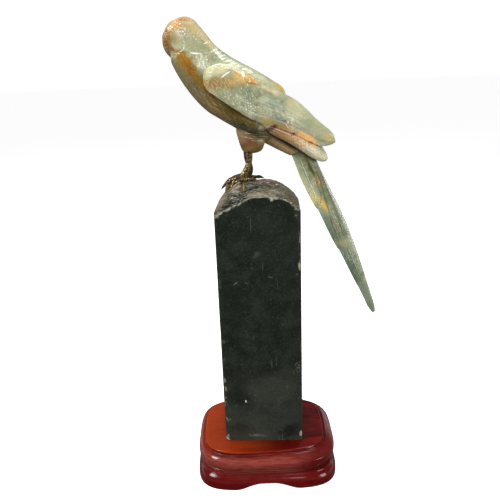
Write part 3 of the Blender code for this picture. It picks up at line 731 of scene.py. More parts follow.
@dataclass
class BrassLeg:
    """One cast leg with its foot: shank, knuckle, three toes with claws, and any pin."""

    name: str
    node: str
    side: Side
    line: Rows
    toes: Rows
    pinned: bool = False
    seed: int = 3

    def shank_relief(self, share: Array, turn: Array) -> Array:
        """Cast scales round the shank: rows of shallow plates, with noise."""
        height, edge = overlapping_scales(share * 17, turn / math.pi * 3.0 + .2)
        place = joined(share * 26, np.cos(turn) * 2.4, np.sin(turn) * 2.4)
        uneven = layered_noise(place, 1.0, 3, self.seed)
        return .00034 * (height - .5) - .00022 * edge + .00016 * uneven

    def shank(self) -> Shell:
        """Shank from the thigh to the foot, swelling at its ends."""
        rows = np.hstack((leg_line(self.line, self.side), np.zeros((4, 1))))
        path = read_rows(rows, np.linspace(0, 3, 130))[:, :3]
        swell = read_rows(np.array(LEG_SWELL)[:, None], np.linspace(0, 8, 130))
        return swept_limb(path, LEG_RADIUS * swell - .0001, 40, self.shank_relief)

    def toe_relief(self, share: Array, turn: Array) -> Array:
        """Rings of joints along the toe, smooth on the claw."""
        skin = 1 - ease(share, .7, .8)
        joints = np.abs(np.sin(share * math.pi * 7)) ** .6
        place = joined(share * 18, np.cos(turn) * 2, np.sin(turn) * 2)
        return skin * (.00022 * (joints - .7) + .0001 * layered_noise(place, 1.0, 2, 9))

    def toe(self, turn: float, reach: float, drop: float, curl: float, girth: float) -> Shell:
        """Toe that curls down over the stone: its drop grows as a power of the way along it."""
        t = np.linspace(0, 1, 64)
        radii = smooth_line(TOE_LINE, t) * girth
        ankle = leg_line(self.line, self.side)[-1]
        heading = math.radians(turn)
        x = ankle[0] - math.cos(heading) * reach * FIGURE_HEIGHT * t
        y = ankle[1] + math.sin(heading) * reach * FIGURE_HEIGHT * t
        z = ankle[2] + drop * FIGURE_HEIGHT * t**curl
        floor = stone_height(x, y) + radii * 1.15 + FIT_GAP
        path = joined(x, y, np.maximum(z, floor))
        return swept_limb(path, radii, 20, self.toe_relief)

    def knuckle(self) -> Shell:
        """Low round knuckle where the toes meet."""
        t = np.linspace(.02, .98, 26) * math.pi
        radius = LEG_RADIUS * 1.12
        centre = leg_line(self.line, self.side)[-1]
        path = centre + joined(0 * t, 0 * t, .85 * radius * np.cos(t))
        return swept_limb(path, radius * 1.07 * np.sin(t), 36)

    def pin(self) -> list[Shell]:
        """Pin under the foot, down into the stone, if there is one."""
        if not self.pinned:
            return []
        return [swept_limb(pin_ends(), np.full(2, PIN_RADIUS), 24)]

    def build(self) -> Piece:
        """Joins the parts of the leg into one casting."""
        forms = [self.shank(), self.knuckle()] + [self.toe(*toe) for toe in self.toes]
        item = united(self.name, forms + self.pin(), BRASS_CREASE)
        return Piece(item, self.node, "leg_brass")


# The bird's body

# Sections from crown to rump: belly x and z, back x and z, half width

BODY_SECTIONS = (
    (-.422, .953, -.38, .979, .045), (-.443, .918, -.321, .995, .083), (-.443, .878, -.274, .981, .101),
    (-.425, .836, -.24, .945, .108), (-.415, .794, -.209, .906, .11), (-.415, .753, -.176, .862, .117),
    (-.397, .707, -.131, .816, .13), (-.367, .652, -.066, .768, .143), (-.328, .591, .014, .723, .153),
    (-.277, .523, .094, .679, .159), (-.213, .462, .164, .636, .159), (-.129, .406, .229, .587, .149),
    (-.035, .348, .254, .533, .132), (.052, .296, .279, .47, .114), (.128, .262, .317, .404, .095),
    (.2, .222, .362, .328, .075), (.266, .188, .397, .251, .055))
TRUNK_ROUNDNESS = 2.25
THIGH_SWELL, THIGH_REACH = .7, .075
THIGH_MIDDLE = (.045, .325)
BROW_DEPTH = .005

# Beak sections down its curve: x, z, half thickness, half width

BEAK_SECTIONS = (
    (-.408, .93, .022, .032), (-.43, .898, .024, .042), (-.4345, .862, .025, .044),
    (-.424, .827, .026, .038), (-.41, .799, .022, .026), (-.403, .776, .013, .012))
EYE = (-.332, .905)
EYE_RADIUS = .021
NOSTRIL = (-.424, .919)

# Carved lines on the flank, as x and z along each

HOOD_STEP = (
    (-.411, .81), (-.373, .802), (-.321, .791), (-.276, .792), (-.237, .786), (-.192, .795),
    (-.153, .812), (-.127, .773))
CHEEK_ARC = ((-.337, .882), (-.322, .862), (-.322, .838), (-.336, .814), (-.362, .8))
NAPE_ARC = ((-.268, .868), (-.246, .852), (-.212, .846), (-.196, .858))
BEAK_LINE = ((-.404, .936), (-.401, .9), (-.404, .86), (-.402, .826), (-.398, .8))
HOOD_CUTS = (
    ((-.292, .796), (-.262, .79), (-.234, .792)), ((-.262, .79), (-.252, .768)),
    ((-.234, .792), (-.222, .764)), ((-.156, .815), (-.14, .79), (-.124, .768), (-.112, .758)),
    ((-.146, .8), (-.12, .796)), ((-.132, .778), (-.104, .778)), ((-.24, .748), (-.234, .712)),
    ((-.226, .752), (-.214, .708)), ((-.208, .748), (-.196, .716)), ((-.252, .74), (-.25, .716)))

# The wing: its shoulder, its fall, and its lines along it, as shares

SHOULDER = (-.279, .669)
WING_FALL = math.radians(25.6)
WING_FLANK = (
    (.04, .164), (.1, .178), (.2, .186), (.3, .186), (.418, .175), (.557, .15), (.697, .119),
    (.801, .092), (.918, .056))
WING_MIDDLE = ((.04, .044), (.139, .018), (.279, 0), (.418, -.02), (.557, -.035), (.918, -.043))
WING_ROOF = (
    (.04, .215), (.139, .185), (.338, .173), (.5, .15), (.54, .129), (.61, .116), (.68, .095),
    (.742, .072), (.812, .052), (.865, .034), (.918, .006))
UPPER_TOP = (
    (.046, .046), (.052, .063), (.066, .084), (.09, .108), (.138, .13), (.2, .143), (.278, .134),
    (.362, .114), (.432, .112), (.524, .12), (.61, .112), (.68, .091), (.742, .068), (.812, .048),
    (.866, .033), (.9, .01), (.912, -.012))
UPPER_LOW = (
    (.046, .034), (.054, .014), (.07, -.014), (.092, -.032), (.16, -.051), (.254, -.068), (.34, -.081),
    (.424, -.089), (.497, -.084), (.632, -.072), (.731, -.073), (.815, -.075), (.85, -.067), (.878, -.05),
    (.899, -.033), (.912, -.017))
LOWER_TOP = (
    (.34, -.05), (.7, -.04), (.8, -.056), (.848, -.068), (.88, -.086), (.901, -.102), (.912, -.116))
LOWER_LOW = (
    (.34, -.07), (.424, -.089), (.511, -.115), (.655, -.128), (.735, -.139), (.804, -.151), (.862, -.155),
    (.893, -.148), (.908, -.135), (.912, -.126))
LOWER_FLANK = ((.34, .17), (.5, .158), (.65, .131), (.8, .101), (.912, .068))
LOWER_BACK = .042
TIP_PARTING = .022
TIP_START = .8
WING_ROUNDNESS = 2.3
FEATHER_GROOVE = .006
EDGE_FALL = .008
BLADE_DEPTH = .012
PRIMARY_DEPTH = .034
PRIMARY_ROOT_DEPTH = .075
FAR_FINENESS = .62
STROKE_SCALE = 150

# Thigh sections: height, middle x, half length, share of the spread, half width

THIGH_SECTIONS = (
    (.45, .06, .07, .5, .04), (.4, .056, .098, .72, .06), (.352, .044, .097, .86, .058),
    (.311, .04, .085, .95, .052), (.263, .04, .071, 1, .046), (.237, .039, .06, 1, .041),
    (.225, .038, .046, 1, .031), (.2185, .038, .026, 1, .018))


class Plumage(Enum):
    """How the feathers of a layer are carved."""

    SCALES = "rows of overlapping scales"
    BLADES = "long feathers side by side"


@dataclass(frozen=True)
class Layer:
    """One layer of wing feathers.

    Its sizes are shares of the bird's height: its start and its ends along the wing at the top
    and the bottom, how deep the gaps between its tips are, and how far it stands out.
    """

    start: float
    top_end: float
    low_end: float
    cut: float
    feathers: int
    rise: float
    draw_in: float
    grid: tuple[int, int]
    plumage: Plumage


# Flight feathers, long coverts and short coverts

WING_LAYERS = (
    Layer(.046, .912, .912, 0.0, 4, -.004, .03, (236, 84), Plumage.BLADES),
    Layer(.049, .527, .64, .034, 4, .005, .015, (150, 80), Plumage.BLADES),
    Layer(.052, .372, .424, .014, 5, .014, 0.0, (126, 88), Plumage.SCALES))


def line_nearness(x: Array, z: Array, line: Rows, width: float) -> Array:
    """How near points are to a drawn line: a round hump across it, one on the line itself."""
    knots = np.asarray(line)
    nearest = np.full(np.shape(x), 9.0)
    for (x0, z0), (x1, z1) in zip(knots[:-1], knots[1:]):
        dx, dz = x1 - x0, z1 - z0
        t = np.clip(((x - x0) * dx + (z - z0) * dz) / (dx * dx + dz * dz), 0, 1)
        nearest = np.minimum(nearest, np.hypot(x - x0 - t * dx, z - z0 - t * dz))
    return hump(nearest, width)


def barbs(along: Array, part: Array, slant: float) -> Array:
    """Stroke coordinates of a feather: along it, and along it less a slant off its shaft."""
    reach = along * STROKE_SCALE
    return joined(reach, reach - np.abs(part - .5) * slant)


def drawn(line: Rows, count: int = 24) -> Array:
    """Smooth finer line through a few points."""
    return read_rows(line, np.linspace(0, len(line) - 1, count))


@dataclass
class CarvedBody:
    """Head, trunk, folded wings and thighs, carved from one piece of stone."""

    rings: int = 264
    around: int = 172

    def head_relief(self, x: Array, z: Array) -> tuple[Array, Array]:
        """Eye, cheek, hood and beak lines on the flank of the head.

        Each is a hump across its own distance: the eye a dome in a groove with a raised ring, the
        others cuts.

        Args:
            x: shares along the bird.
            z: shares up the bird.

        Returns:
            The height in metres, and how much a white cut line shows.
        """
        away = np.hypot(x - EYE[0], z - EYE[1]) / EYE_RADIUS
        turn = np.arctan2(z - EYE[1], x - EYE[0])
        beads = .5 + .5 * np.cos(turn * 14)
        height = .0004 * hump(away, .52) - .0005 * hump(away - .74, .13)
        height += .0004 * hump(away - 1.02, .16) * (.4 + .6 * beads)
        height -= .0002 * hump(away - 1.32, .15)
        cut = .8 * hump(away - 1.02, .2) * beads**2
        for line, width, depth, white in (
                (HOOD_STEP, .006, .0002, 0.0), (CHEEK_ARC, .003, .0003, .15),
                (NAPE_ARC, .003, .0003, .1), (BEAK_LINE, .0045, .0003, 0.0)):
            near = line_nearness(x, z, drawn(line), width)
            height -= depth * near
            cut = np.maximum(cut, white * near)
        for line in HOOD_CUTS:
            near = line_nearness(x, z, line, .004)
            height -= .0004 * near
            cut = np.maximum(cut, .55 * near)
        pit = hump(np.hypot(x - NOSTRIL[0], z - NOSTRIL[1]), .0065)
        return height - .0008 * pit, cut

    def trunk(self) -> Shell:
        """Head and trunk: oval sections from the brow to the rump, with their carved feathers.

        The scales follow the trunk: small on the crown, larger on the nape and mantle, and hatched
        strokes under the breast.
        """
        steps = np.concatenate((np.linspace(0, 6, int(self.rings * .45)),
                                np.linspace(6, 16, int(self.rings * .55) + 1)[1:]))
        rows = read_rows(BODY_SECTIONS, steps)
        c, s = oval(self.around, TRUNK_ROUNDNESS)
        middle, reach = (rows[:, :2] + rows[:, 2:4]) / 2, (rows[:, 2:4] - rows[:, :2]) / 2
        x = middle[:, :1] + reach[:, :1] * c
        z = middle[:, 1:] + reach[:, 1:] * c
        y = rows[:, 4:] * s
        near_thigh = np.hypot(x - THIGH_MIDDLE[0], z - THIGH_MIDDLE[1])
        y = y * (1 + THIGH_SWELL * hump(near_thigh, THIGH_REACH))
        x, z, y, steps = self.with_brow(x, z, y, steps)
        grid = figure_point(x, z, y)
        stride = np.linalg.norm(np.diff(grid.mean(axis=1), axis=0), axis=1) / FIGURE_HEIGHT
        length = np.concatenate(([0.0], np.cumsum(stride)))[:, None]
        turn = (np.arange(self.around) / self.around)[None, :] + 0 * x
        back = ease(np.cos(turn * 2 * math.pi), -.35, .25)
        pitch = .016 + .022 * ease(length, .18, .55)
        row = np.cumsum(np.gradient(length[:, 0]) / pitch[:, 0])[:, None] + 0 * x
        scales, edge = overlapping_scales(row, turn * 44)
        head = 1 - ease(z, .76, .84)
        strength = back * (.00042 + .00012 * head) * (1 - ease(length, .72, .95))
        flank = ease(np.abs(y), .03, .06)
        lines, cut = self.head_relief(x, z)
        beaked = line_nearness(x, z, [row[:2] for row in BEAK_SECTIONS], .03)
        place = figure_point(x, z, y)
        uneven = layered_noise(place, .012, 3, 71)
        hatch = (1 - back) * (.5 + .5 * np.sin(turn * 2 * math.pi * 34 + 1.2 * uneven))
        height = strength * (scales - .6) - .00012 * edge * back + lines * flank
        height += .00018 * uneven - .00022 * hatch * (1 - .8 * beaked) * (1 - .6 * (z > .8))
        grid = grid + self.outward(grid) * height[..., None]
        strokes = joined(length * 60 + 0 * x, turn * 120)
        white = np.maximum(cut * flank, .35 * edge * back * np.clip(.5 + uneven, 0, 1))
        fine = np.clip(.35 + (1 - back) * .65 - .8 * ease(z, .8, .86) * (1 - back), 0, 1)
        return tube(grid, strokes, {Trait.LINE: white, Trait.STROKE: fine})

    def with_brow(self, x: Array, z: Array, y: Array, steps: Array) -> tuple[Array, ...]:
        """Adds rings that close the brow in a quarter round before the first section."""
        bend = np.linspace(.97, 0.0, 9)[:-1, None] * math.pi / 2
        advance = np.array((x[0].mean() - x[6].mean(), z[0].mean() - z[6].mean()))
        advance *= BROW_DEPTH / np.linalg.norm(advance)
        brow_x = x[0].mean() + (x[0] - x[0].mean()) * np.cos(bend) + advance[0] * np.sin(bend)
        brow_z = z[0].mean() + (z[0] - z[0].mean()) * np.cos(bend) + advance[1] * np.sin(bend)
        brow_y = y[0] * np.cos(bend)
        early = np.zeros(len(bend))
        return (np.vstack((brow_x, x)), np.vstack((brow_z, z)), np.vstack((brow_y, y)),
                np.concatenate((early, steps)))

    def outward(self, grid: Array) -> Array:
        """Unit normals of closed rings, turned away from the middle of each ring."""
        wrapped = np.concatenate((grid[:, -1:], grid, grid[:, :1]), axis=1)
        normal = surface_normals(wrapped)[:, 1:-1]
        away = grid - grid.mean(axis=1, keepdims=True)
        sign = np.sign((normal * away).sum(axis=-1).mean())
        return normal * sign

    def wing_point(self, along: Array, across: Array, out: Array, side: Side) -> Array:
        """Places in the frame from places along and across the wing and out from the middle."""
        c, s = math.cos(WING_FALL), math.sin(WING_FALL)
        x = SHOULDER[0] + along * c + across * s
        z = SHOULDER[1] - along * s + across * c
        return figure_point(x, z, side.value * out)

    def wing_surface(self, along: Array, across: Array) -> Array:
        """How far out the closed wing stands: full at the flank, falling as a roof to the back."""
        middle = smooth_line(WING_MIDDLE, along)
        reach = smooth_line(WING_ROOF, along) - middle
        lean = np.clip(np.abs((across - middle) / reach), 0.0, .999)
        fall = (1.0 - lean**WING_ROUNDNESS) ** (1.0 / WING_ROUNDNESS)
        return smooth_line(WING_FLANK, along) * fall

    def blade_relief(self, along: Array, t: Array, layer: Layer) -> tuple[Array, Array, Array]:
        """Long feathers: each laps over the one below it and has a raised shaft.

        Args:
            along: shares along the wing.
            t: 0 at the top of the layer and 1 at its bottom.
            layer: the layer it is for.

        Returns:
            The height in shares, the white lines, and the place across each feather.
        """
        wander = .05 * value_noise(joined(along * 9, t * 0, t * 0), 5)
        spread = t * layer.feathers + wander * np.sin(math.pi * t)
        part = spread % 1.0
        lap = .0042 * (part - .5) * ease(part, 0.0, .1) - .0016 * hump(part, .05)
        shaft = .0014 * hump(part - .56, .035) - .0012 * hump(part - .64, .03)
        seam = np.minimum(part, 1 - part)
        inside = ease(np.minimum(t, 1 - t), 0.0, .04)
        barb = np.sin(FULL_TURN * (along * 78 - np.abs(part - .56) * 3.0))
        height = (lap + shaft) * inside - .0006 * (.5 + .5 * barb) * ease(seam, .02, .1)
        return height, .55 * hump(seam, .045) * inside, part

    def scale_relief(self, along: Array, t: Array, layer: Layer) -> tuple[Array, Array, Array]:
        """Short feathers in lapping rows, with the wing's smooth front edge left plain."""
        place = joined(along, t * .2, 0 * t)
        stray = layered_noise(place, .035, 2, 83)
        run = (along - layer.start) / .036 + .55 + .22 * stray
        lane = t * 8.5 + .3 + .16 * layered_noise(place, .03, 2, 87)
        scales, edge = overlapping_scales(run, lane)
        plain = ease(along - layer.start, .012, .03)
        height = plain * (.0034 * (scales - .7) - .0008 * edge)
        part = lane % 1.0
        kept = np.clip(.35 + .9 * layered_noise(place, .012, 2, 91), 0, 1)
        barb = np.sin(FULL_TURN * (along * 95 - np.abs(part - .5) * 2.2))
        shown = .25 + .6 * ease(along, .16, .3) * (1 - ease(along, .37, .42))
        return height - .0004 * plain * (.5 + .5 * barb), shown * edge * plain * kept, part

    def wing_layer(self, side: Side, layer: Layer) -> Shell:
        """Layer of feathers between the wing's two edge lines, ending in rounded tips."""
        near = 1.0 if side is Side.LEFT else FAR_FINENESS
        u, t = lattice(int(layer.grid[0] * near), int(layer.grid[1] * near))
        tips = np.abs(np.sin(math.pi * layer.feathers * t)) ** .7
        end = layer.top_end + (layer.low_end - layer.top_end) * t**1.5 - layer.cut * (1.0 - tips)
        along = layer.start + (end - layer.start) * u
        top, low = smooth_line(UPPER_TOP, along), smooth_line(UPPER_LOW, along)
        across = top + (low - top) * (t + layer.draw_in * (.5 - t))
        proud = layer.rise * (np.clip(u * 8.0, 0.0, 1.0) if layer.rise > 0 else 1.0)
        open_edge = 1 - ease(t, .78, .96) * ease(along, .37, .45)
        out = self.wing_surface(along, across) + proud * open_edge
        groove = FEATHER_GROOVE * (1.0 - tips) * np.clip(u * 3.0 - 1.2, 0.0, 1.0)
        out -= .6 * groove * open_edge
        out -= EDGE_FALL * np.clip(1.0 - t / .15, 0.0, 1.0) ** 2
        out -= .0035 * ease(u, .965, 1.0) ** 2
        parting = TIP_PARTING * np.clip((along - TIP_START) / (UPPER_TOP[-1][0] - TIP_START), 0, 1)
        inner = np.minimum(parting - EDGE_FALL, out - BLADE_DEPTH)
        carve = self.blade_relief if layer.plumage is Plumage.BLADES else self.scale_relief
        height, white, part = carve(along, t, layer)
        rim = ease(np.minimum(u, 1 - u), 0.0, .03)
        out += height * rim
        centre = across.mean(axis=1)[:, None]
        tucked = across + (centre - across) * .06
        strokes = barbs(along, part, 9)
        outer = self.wing_point(along, across, out, side)
        fine = np.full(along.shape, .75)
        return slab(outer, self.wing_point(along, tucked, inner, side), strokes,
                    {Trait.LINE: white * rim, Trait.STROKE: fine, Trait.WING: fine * 0 + 1})

    def primaries(self, side: Side) -> Shell:
        """Long lower feathers: a leaf with a ridge on each feather that thins to its tip."""
        near = 1.0 if side is Side.LEFT else FAR_FINENESS
        u, t = lattice(int(170 * near), int(60 * near))
        along = LOWER_TOP[0][0] + (LOWER_TOP[-1][0] - LOWER_TOP[0][0]) * u
        top, low = smooth_line(LOWER_TOP, along), smooth_line(LOWER_LOW, along)
        across = top + (low - top) * t
        ridges = np.abs(np.sin(2.0 * math.pi * t)) ** .7
        swell = 1.0 - np.where(t < .5, .6, .13) * (2.0 * t - 1.0) ** 2
        out = smooth_line(LOWER_FLANK, along) * swell - .004 * (1.0 - ridges)
        root = np.clip((.75 - along) / .25, 0.0, 1.0)
        inner = out - PRIMARY_DEPTH - PRIMARY_ROOT_DEPTH * root
        inner = np.where(root > 0, inner, np.minimum(np.maximum(inner, LOWER_BACK), out - .006))
        part = (2 * t) % 1.0
        rim = ease(np.minimum(u, 1 - u), 0.0, .03) * ease(np.minimum(t, 1 - t), 0.0, .06)
        barb = np.sin(FULL_TURN * (along * 70 - np.abs(part - .5) * 3.4))
        shaft = .0016 * hump(part - .5, .05) - .0012 * hump(np.abs(part - .5) - .1, .04)
        out += rim * (shaft - .0009 * (.5 + .5 * barb))
        strokes = barbs(along, part, 12)
        white = rim * (.35 * ease(barb, .5, 1.0) + .4 * hump(np.minimum(part, 1 - part), .06))
        return slab(self.wing_point(along, across, out, side),
                    self.wing_point(along, across, inner, side), strokes,
                    {Trait.LINE: white, Trait.STROKE: np.full(along.shape, .8),
                     Trait.WING: np.ones(along.shape)})

    def thigh(self, side: Side) -> Shell:
        """Thigh: oval sections that flare into the belly, with striations that bow across it."""
        rows = read_rows(THIGH_SECTIONS, np.linspace(0, len(THIGH_SECTIONS) - 1, 80))
        height, middle, length, share, width = (rows[:, n:n + 1] for n in range(5))
        turn = np.arange(72)[None, :] / 72 * FULL_TURN
        spread = side.value * LEG_SPREAD / 2 / FIGURE_HEIGHT * share
        x = middle + length * np.cos(turn)
        lead = np.clip(-np.cos(turn), 0.0, 1.0) ** 2 * ease(height, .27, .36)
        y = (spread + width * np.sin(turn)) * (1 - .6 * lead)
        uneven = layered_noise(figure_point(x, height, y), .006, 2, 13)
        bow = height + .1 * x - .8 * (x - .07) ** 2 + .002 * uneven
        line = (.5 + .5 * np.sin(FULL_TURN * bow * 95)) * np.clip(.7 + uneven, .2, 1)
        deep = ease(height, .25, .3)
        grow = 1 - .006 * line * deep
        grid = figure_point(middle + (x - middle) * grow, height, spread + (y - spread) * grow)
        strokes = joined(x * 60, bow * 240)
        return tube(grid, strokes, {Trait.STROKE: .8 * deep + 0 * x})

    def beak(self) -> Shell:
        """Hooked beak that lies close along the face, with faint pale cuts across it."""
        sections = read_rows(BEAK_SECTIONS, np.linspace(0, len(BEAK_SECTIONS) - 1, 72))
        path = figure_point(sections[:, 0], sections[:, 1])
        ahead = np.gradient(path, axis=0)
        ahead /= np.linalg.norm(ahead, axis=1)[:, None]
        front = np.cross(ahead, (0.0, 1.0, 0.0))
        c, s = oval(64, 2.0)
        thick, wide = sections[:, 2:3, None], sections[:, 3:4, None]
        offset = front[:, None] * (c[:, None] * thick)
        offset = offset + np.array((0.0, 1.0, 0.0)) * s[:, None] * wide
        grid = path[:, None] + offset * FIGURE_HEIGHT
        share = np.linspace(0, 1, 72)[:, None] + 0 * c
        white = .25 * ease(np.sin(share * 60), .8, 1.0)
        strokes = joined(share * 20, c + 0 * share)
        return tube(grid, strokes, {Trait.LINE: white, Trait.STROKE: .2 + 0 * share})

    def socket(self, line: Rows, side: Side) -> Shell:
        """Round hole in the thigh for a leg's top, wider and deeper by the fit."""
        path = leg_line(line, side)
        down = path[1] - path[0]
        down /= np.linalg.norm(down)
        ends = np.stack((path[0] - down * FIT_GAP, path[0] + down * (SOCKET_DEPTH * 3)))
        return swept_limb(ends, np.full(2, LEG_RADIUS * 1.03 + FIT_GAP), 36)

    def build(self) -> Piece:
        """Unites the carved forms and cuts the rooms for the legs and the tail."""
        forms = [self.trunk()]
        for side in (Side.LEFT, Side.RIGHT):
            forms += [self.thigh(side), self.primaries(side)]
            forms += [self.wing_layer(side, layer) for layer in WING_LAYERS]
        forms.append(self.beak())
        cuts = [self.socket(NEAR_LEG, Side.LEFT), self.socket(FAR_LEG, Side.RIGHT), tail_room()]
        item = united("parrot_body_dressed", forms, CARVED_CREASE, cuts)
        return Piece(item, "parrot_body", "parrot_stone")


# The tail

TAIL_ROOT = (.348, .195)
TAIL_FALL = math.radians(65.4)
TAIL_START = -.028
TAIL_SPINE = ((-.028, .026), (.3, .023), (.7, .018), (1.14, .008))

# Feather layers, long to short: place along, low edge, high edge

TAIL_LAYERS = (
    ((-.028, -.052, .06), (.11, -.053, .055), (.21, -.054, .057), (.395, -.055, .061),
     (.508, -.055, .059), (.614, -.055, .053), (.733, -.051, .042), (.84, -.048, .03),
     (1.019, -.045, .008), (1.1, -.044, -.003), (1.14, -.035, -.015)),
    ((-.028, -.056, .045), (.35, -.057, .028), (.6, -.056, 0), (.77, -.052, -.02), (.88, -.05, -.038),
     (.925, -.0475, -.046)),
    ((-.028, -.062, .03), (.203, -.064, .015), (.364, -.065, -.012), (.5, -.065, -.031),
     (.6, -.063, -.048), (.648, -.059, -.058)),
    ((-.028, -.066, .006), (.05, -.071, -.002), (.135, -.078, -.003), (.225, -.079, -.009),
     (.285, -.077, -.02), (.325, -.074, -.042), (.35, -.069, -.064)))
TAIL_STEP = .005
TAIL_RIDGE = .62
TAIL_TIP_THINNING = .35


def tail_point(along: Array, across: Array, out: Array) -> Array:
    """Places in the frame from places along and across the tail and out from its middle."""
    c, s = math.cos(TAIL_FALL), math.sin(TAIL_FALL)
    x = TAIL_ROOT[0] + along * c + across * s
    z = TAIL_ROOT[1] - along * s + across * c
    return figure_point(x, z, out)


def tail_thickness(along: Array, across: Array) -> Array:
    """Half thickness of the tail: a roof with its ridge just past the middle."""
    edges = smooth_line(TAIL_LAYERS[0], along)
    left, right = edges[..., 0], edges[..., 1]
    ridge = left + TAIL_RIDGE * (right - left)
    low_side = np.clip((ridge - across) / (ridge - left), 0.0, 1.3)
    high_side = np.clip((across - ridge) / (right - ridge), 0.0, 1.3)
    roof = 1.0 - .62 * low_side**1.5 - .55 * high_side**1.8
    return smooth_line(TAIL_SPINE, along) * np.maximum(roof, .2)


def tail_room() -> Shell:
    """Space in the body for the tail's root, wider than the root by the fit all round."""
    gap = FIT_GAP / FIGURE_HEIGHT
    u, t = lattice(24, 24)
    along = TAIL_START - gap + .3 * u
    left = smooth_line(TAIL_LAYERS[3], along)[..., 0] - gap
    right = smooth_line(TAIL_LAYERS[0], along)[..., 1] + gap
    across = left + (right - left) * t
    out = tail_thickness(along, across) + TAIL_STEP * 3 + .0015 + gap * 1.3
    return slab(tail_point(along, across, out), tail_point(along, across, -out), joined(u, t))


@dataclass
class CarvedTail:
    """Long tail in its own piece: four layers of feathers, each shorter and standing out more."""

    rows: int = 250
    lanes: int = 64

    def relief(self, u: Array, t: Array, along: Array) -> tuple[Array, Array]:
        """Shaft and slanting barbs of one feather, and broken white cuts near its edges."""
        shaft = .0018 * hump(t - .5, .035) - .0014 * hump(np.abs(t - .5) - .07, .03)
        barb = np.sin(FULL_TURN * (along * 62 - np.abs(t - .5) * 5.0))
        rim = ease(np.minimum(t, 1 - t), 0.0, .06) * ease(1 - u, 0.0, .03)
        seen = ease(along, 0.0, .05) * rim
        height = seen * (shaft - .001 * (.5 + .5 * barb))
        lanes = hump(t - .88, .05) + .8 * hump(t - .62, .03) + .5 * hump(t - .3, .03)
        place = joined(along * 20, t * 3, 0 * t)
        broken = np.clip(.5 + layered_noise(place, 1.0, 2, 17), 0, 1)
        return height, seen * broken * (.95 * lanes * ease(barb, 0.0, .7) + .15)

    def seams(self, number: int, along: Array, across: Array) -> Array:
        """How near the edges of the layer above are, where it lies on this one."""
        if number + 1 >= len(TAIL_LAYERS):
            return np.zeros(along.shape)
        above = TAIL_LAYERS[number + 1]
        edges = smooth_line(above, along)
        past = np.clip(across - edges[..., 1], 0.0, None)
        return hump(past, .0065) * ease(above[-1][0] - along, -.01, .02)

    def layer(self, number: int) -> Shell:
        """Feather layer: a leaf between its two edge lines, the same on both faces."""
        knots = TAIL_LAYERS[number]
        length = knots[-1][0] - TAIL_START
        u, t = lattice(int(self.rows * length / 1.17) + 12, self.lanes)
        along = TAIL_START + length * u
        edges = smooth_line(knots, along)
        across = edges[..., 0] + (edges[..., 1] - edges[..., 0]) * t
        out = tail_thickness(along, across) + TAIL_STEP * number
        thin = 1.0 - TAIL_TIP_THINNING * np.clip(u * 6 - 5, 0.0, 1.0)
        height, white = self.relief(u, t, along)
        seam = self.seams(number, along, across)
        out = out * thin + .0005 * number + height - .003 * seam
        strokes = barbs(along, t, 12)
        # The seam's nearness is also kept as painted shade in the crevice under the layer above.
        return slab(tail_point(along, across, out), tail_point(along, across, -out), strokes,
                    {Trait.LINE: white * (1 - seam), Trait.DUSK: .8 * seam,
                     Trait.STROKE: np.full(along.shape, .7)})

    def build(self) -> Piece:
        """Joins the four layers."""
        forms = [self.layer(number) for number in range(len(TAIL_LAYERS))]
        return Piece(united("parrot_tail_dressed", forms, CARVED_CREASE), "parrot_tail", "tail_stone")


# Finishes


def tone(red: float, green: float, blue: float) -> Tone:
    """Linear colour from display values of 0 to 255."""
    parts = np.array((red, green, blue)) / 255.0
    low, high = parts / 12.92, ((parts + .055) / 1.055) ** 2.4
    mixed = np.where(parts <= .04045, low, high)
    return tuple(float(part) for part in mixed)


Socket = bpy.types.NodeSocket
Value = float | Sequence[float] | Socket


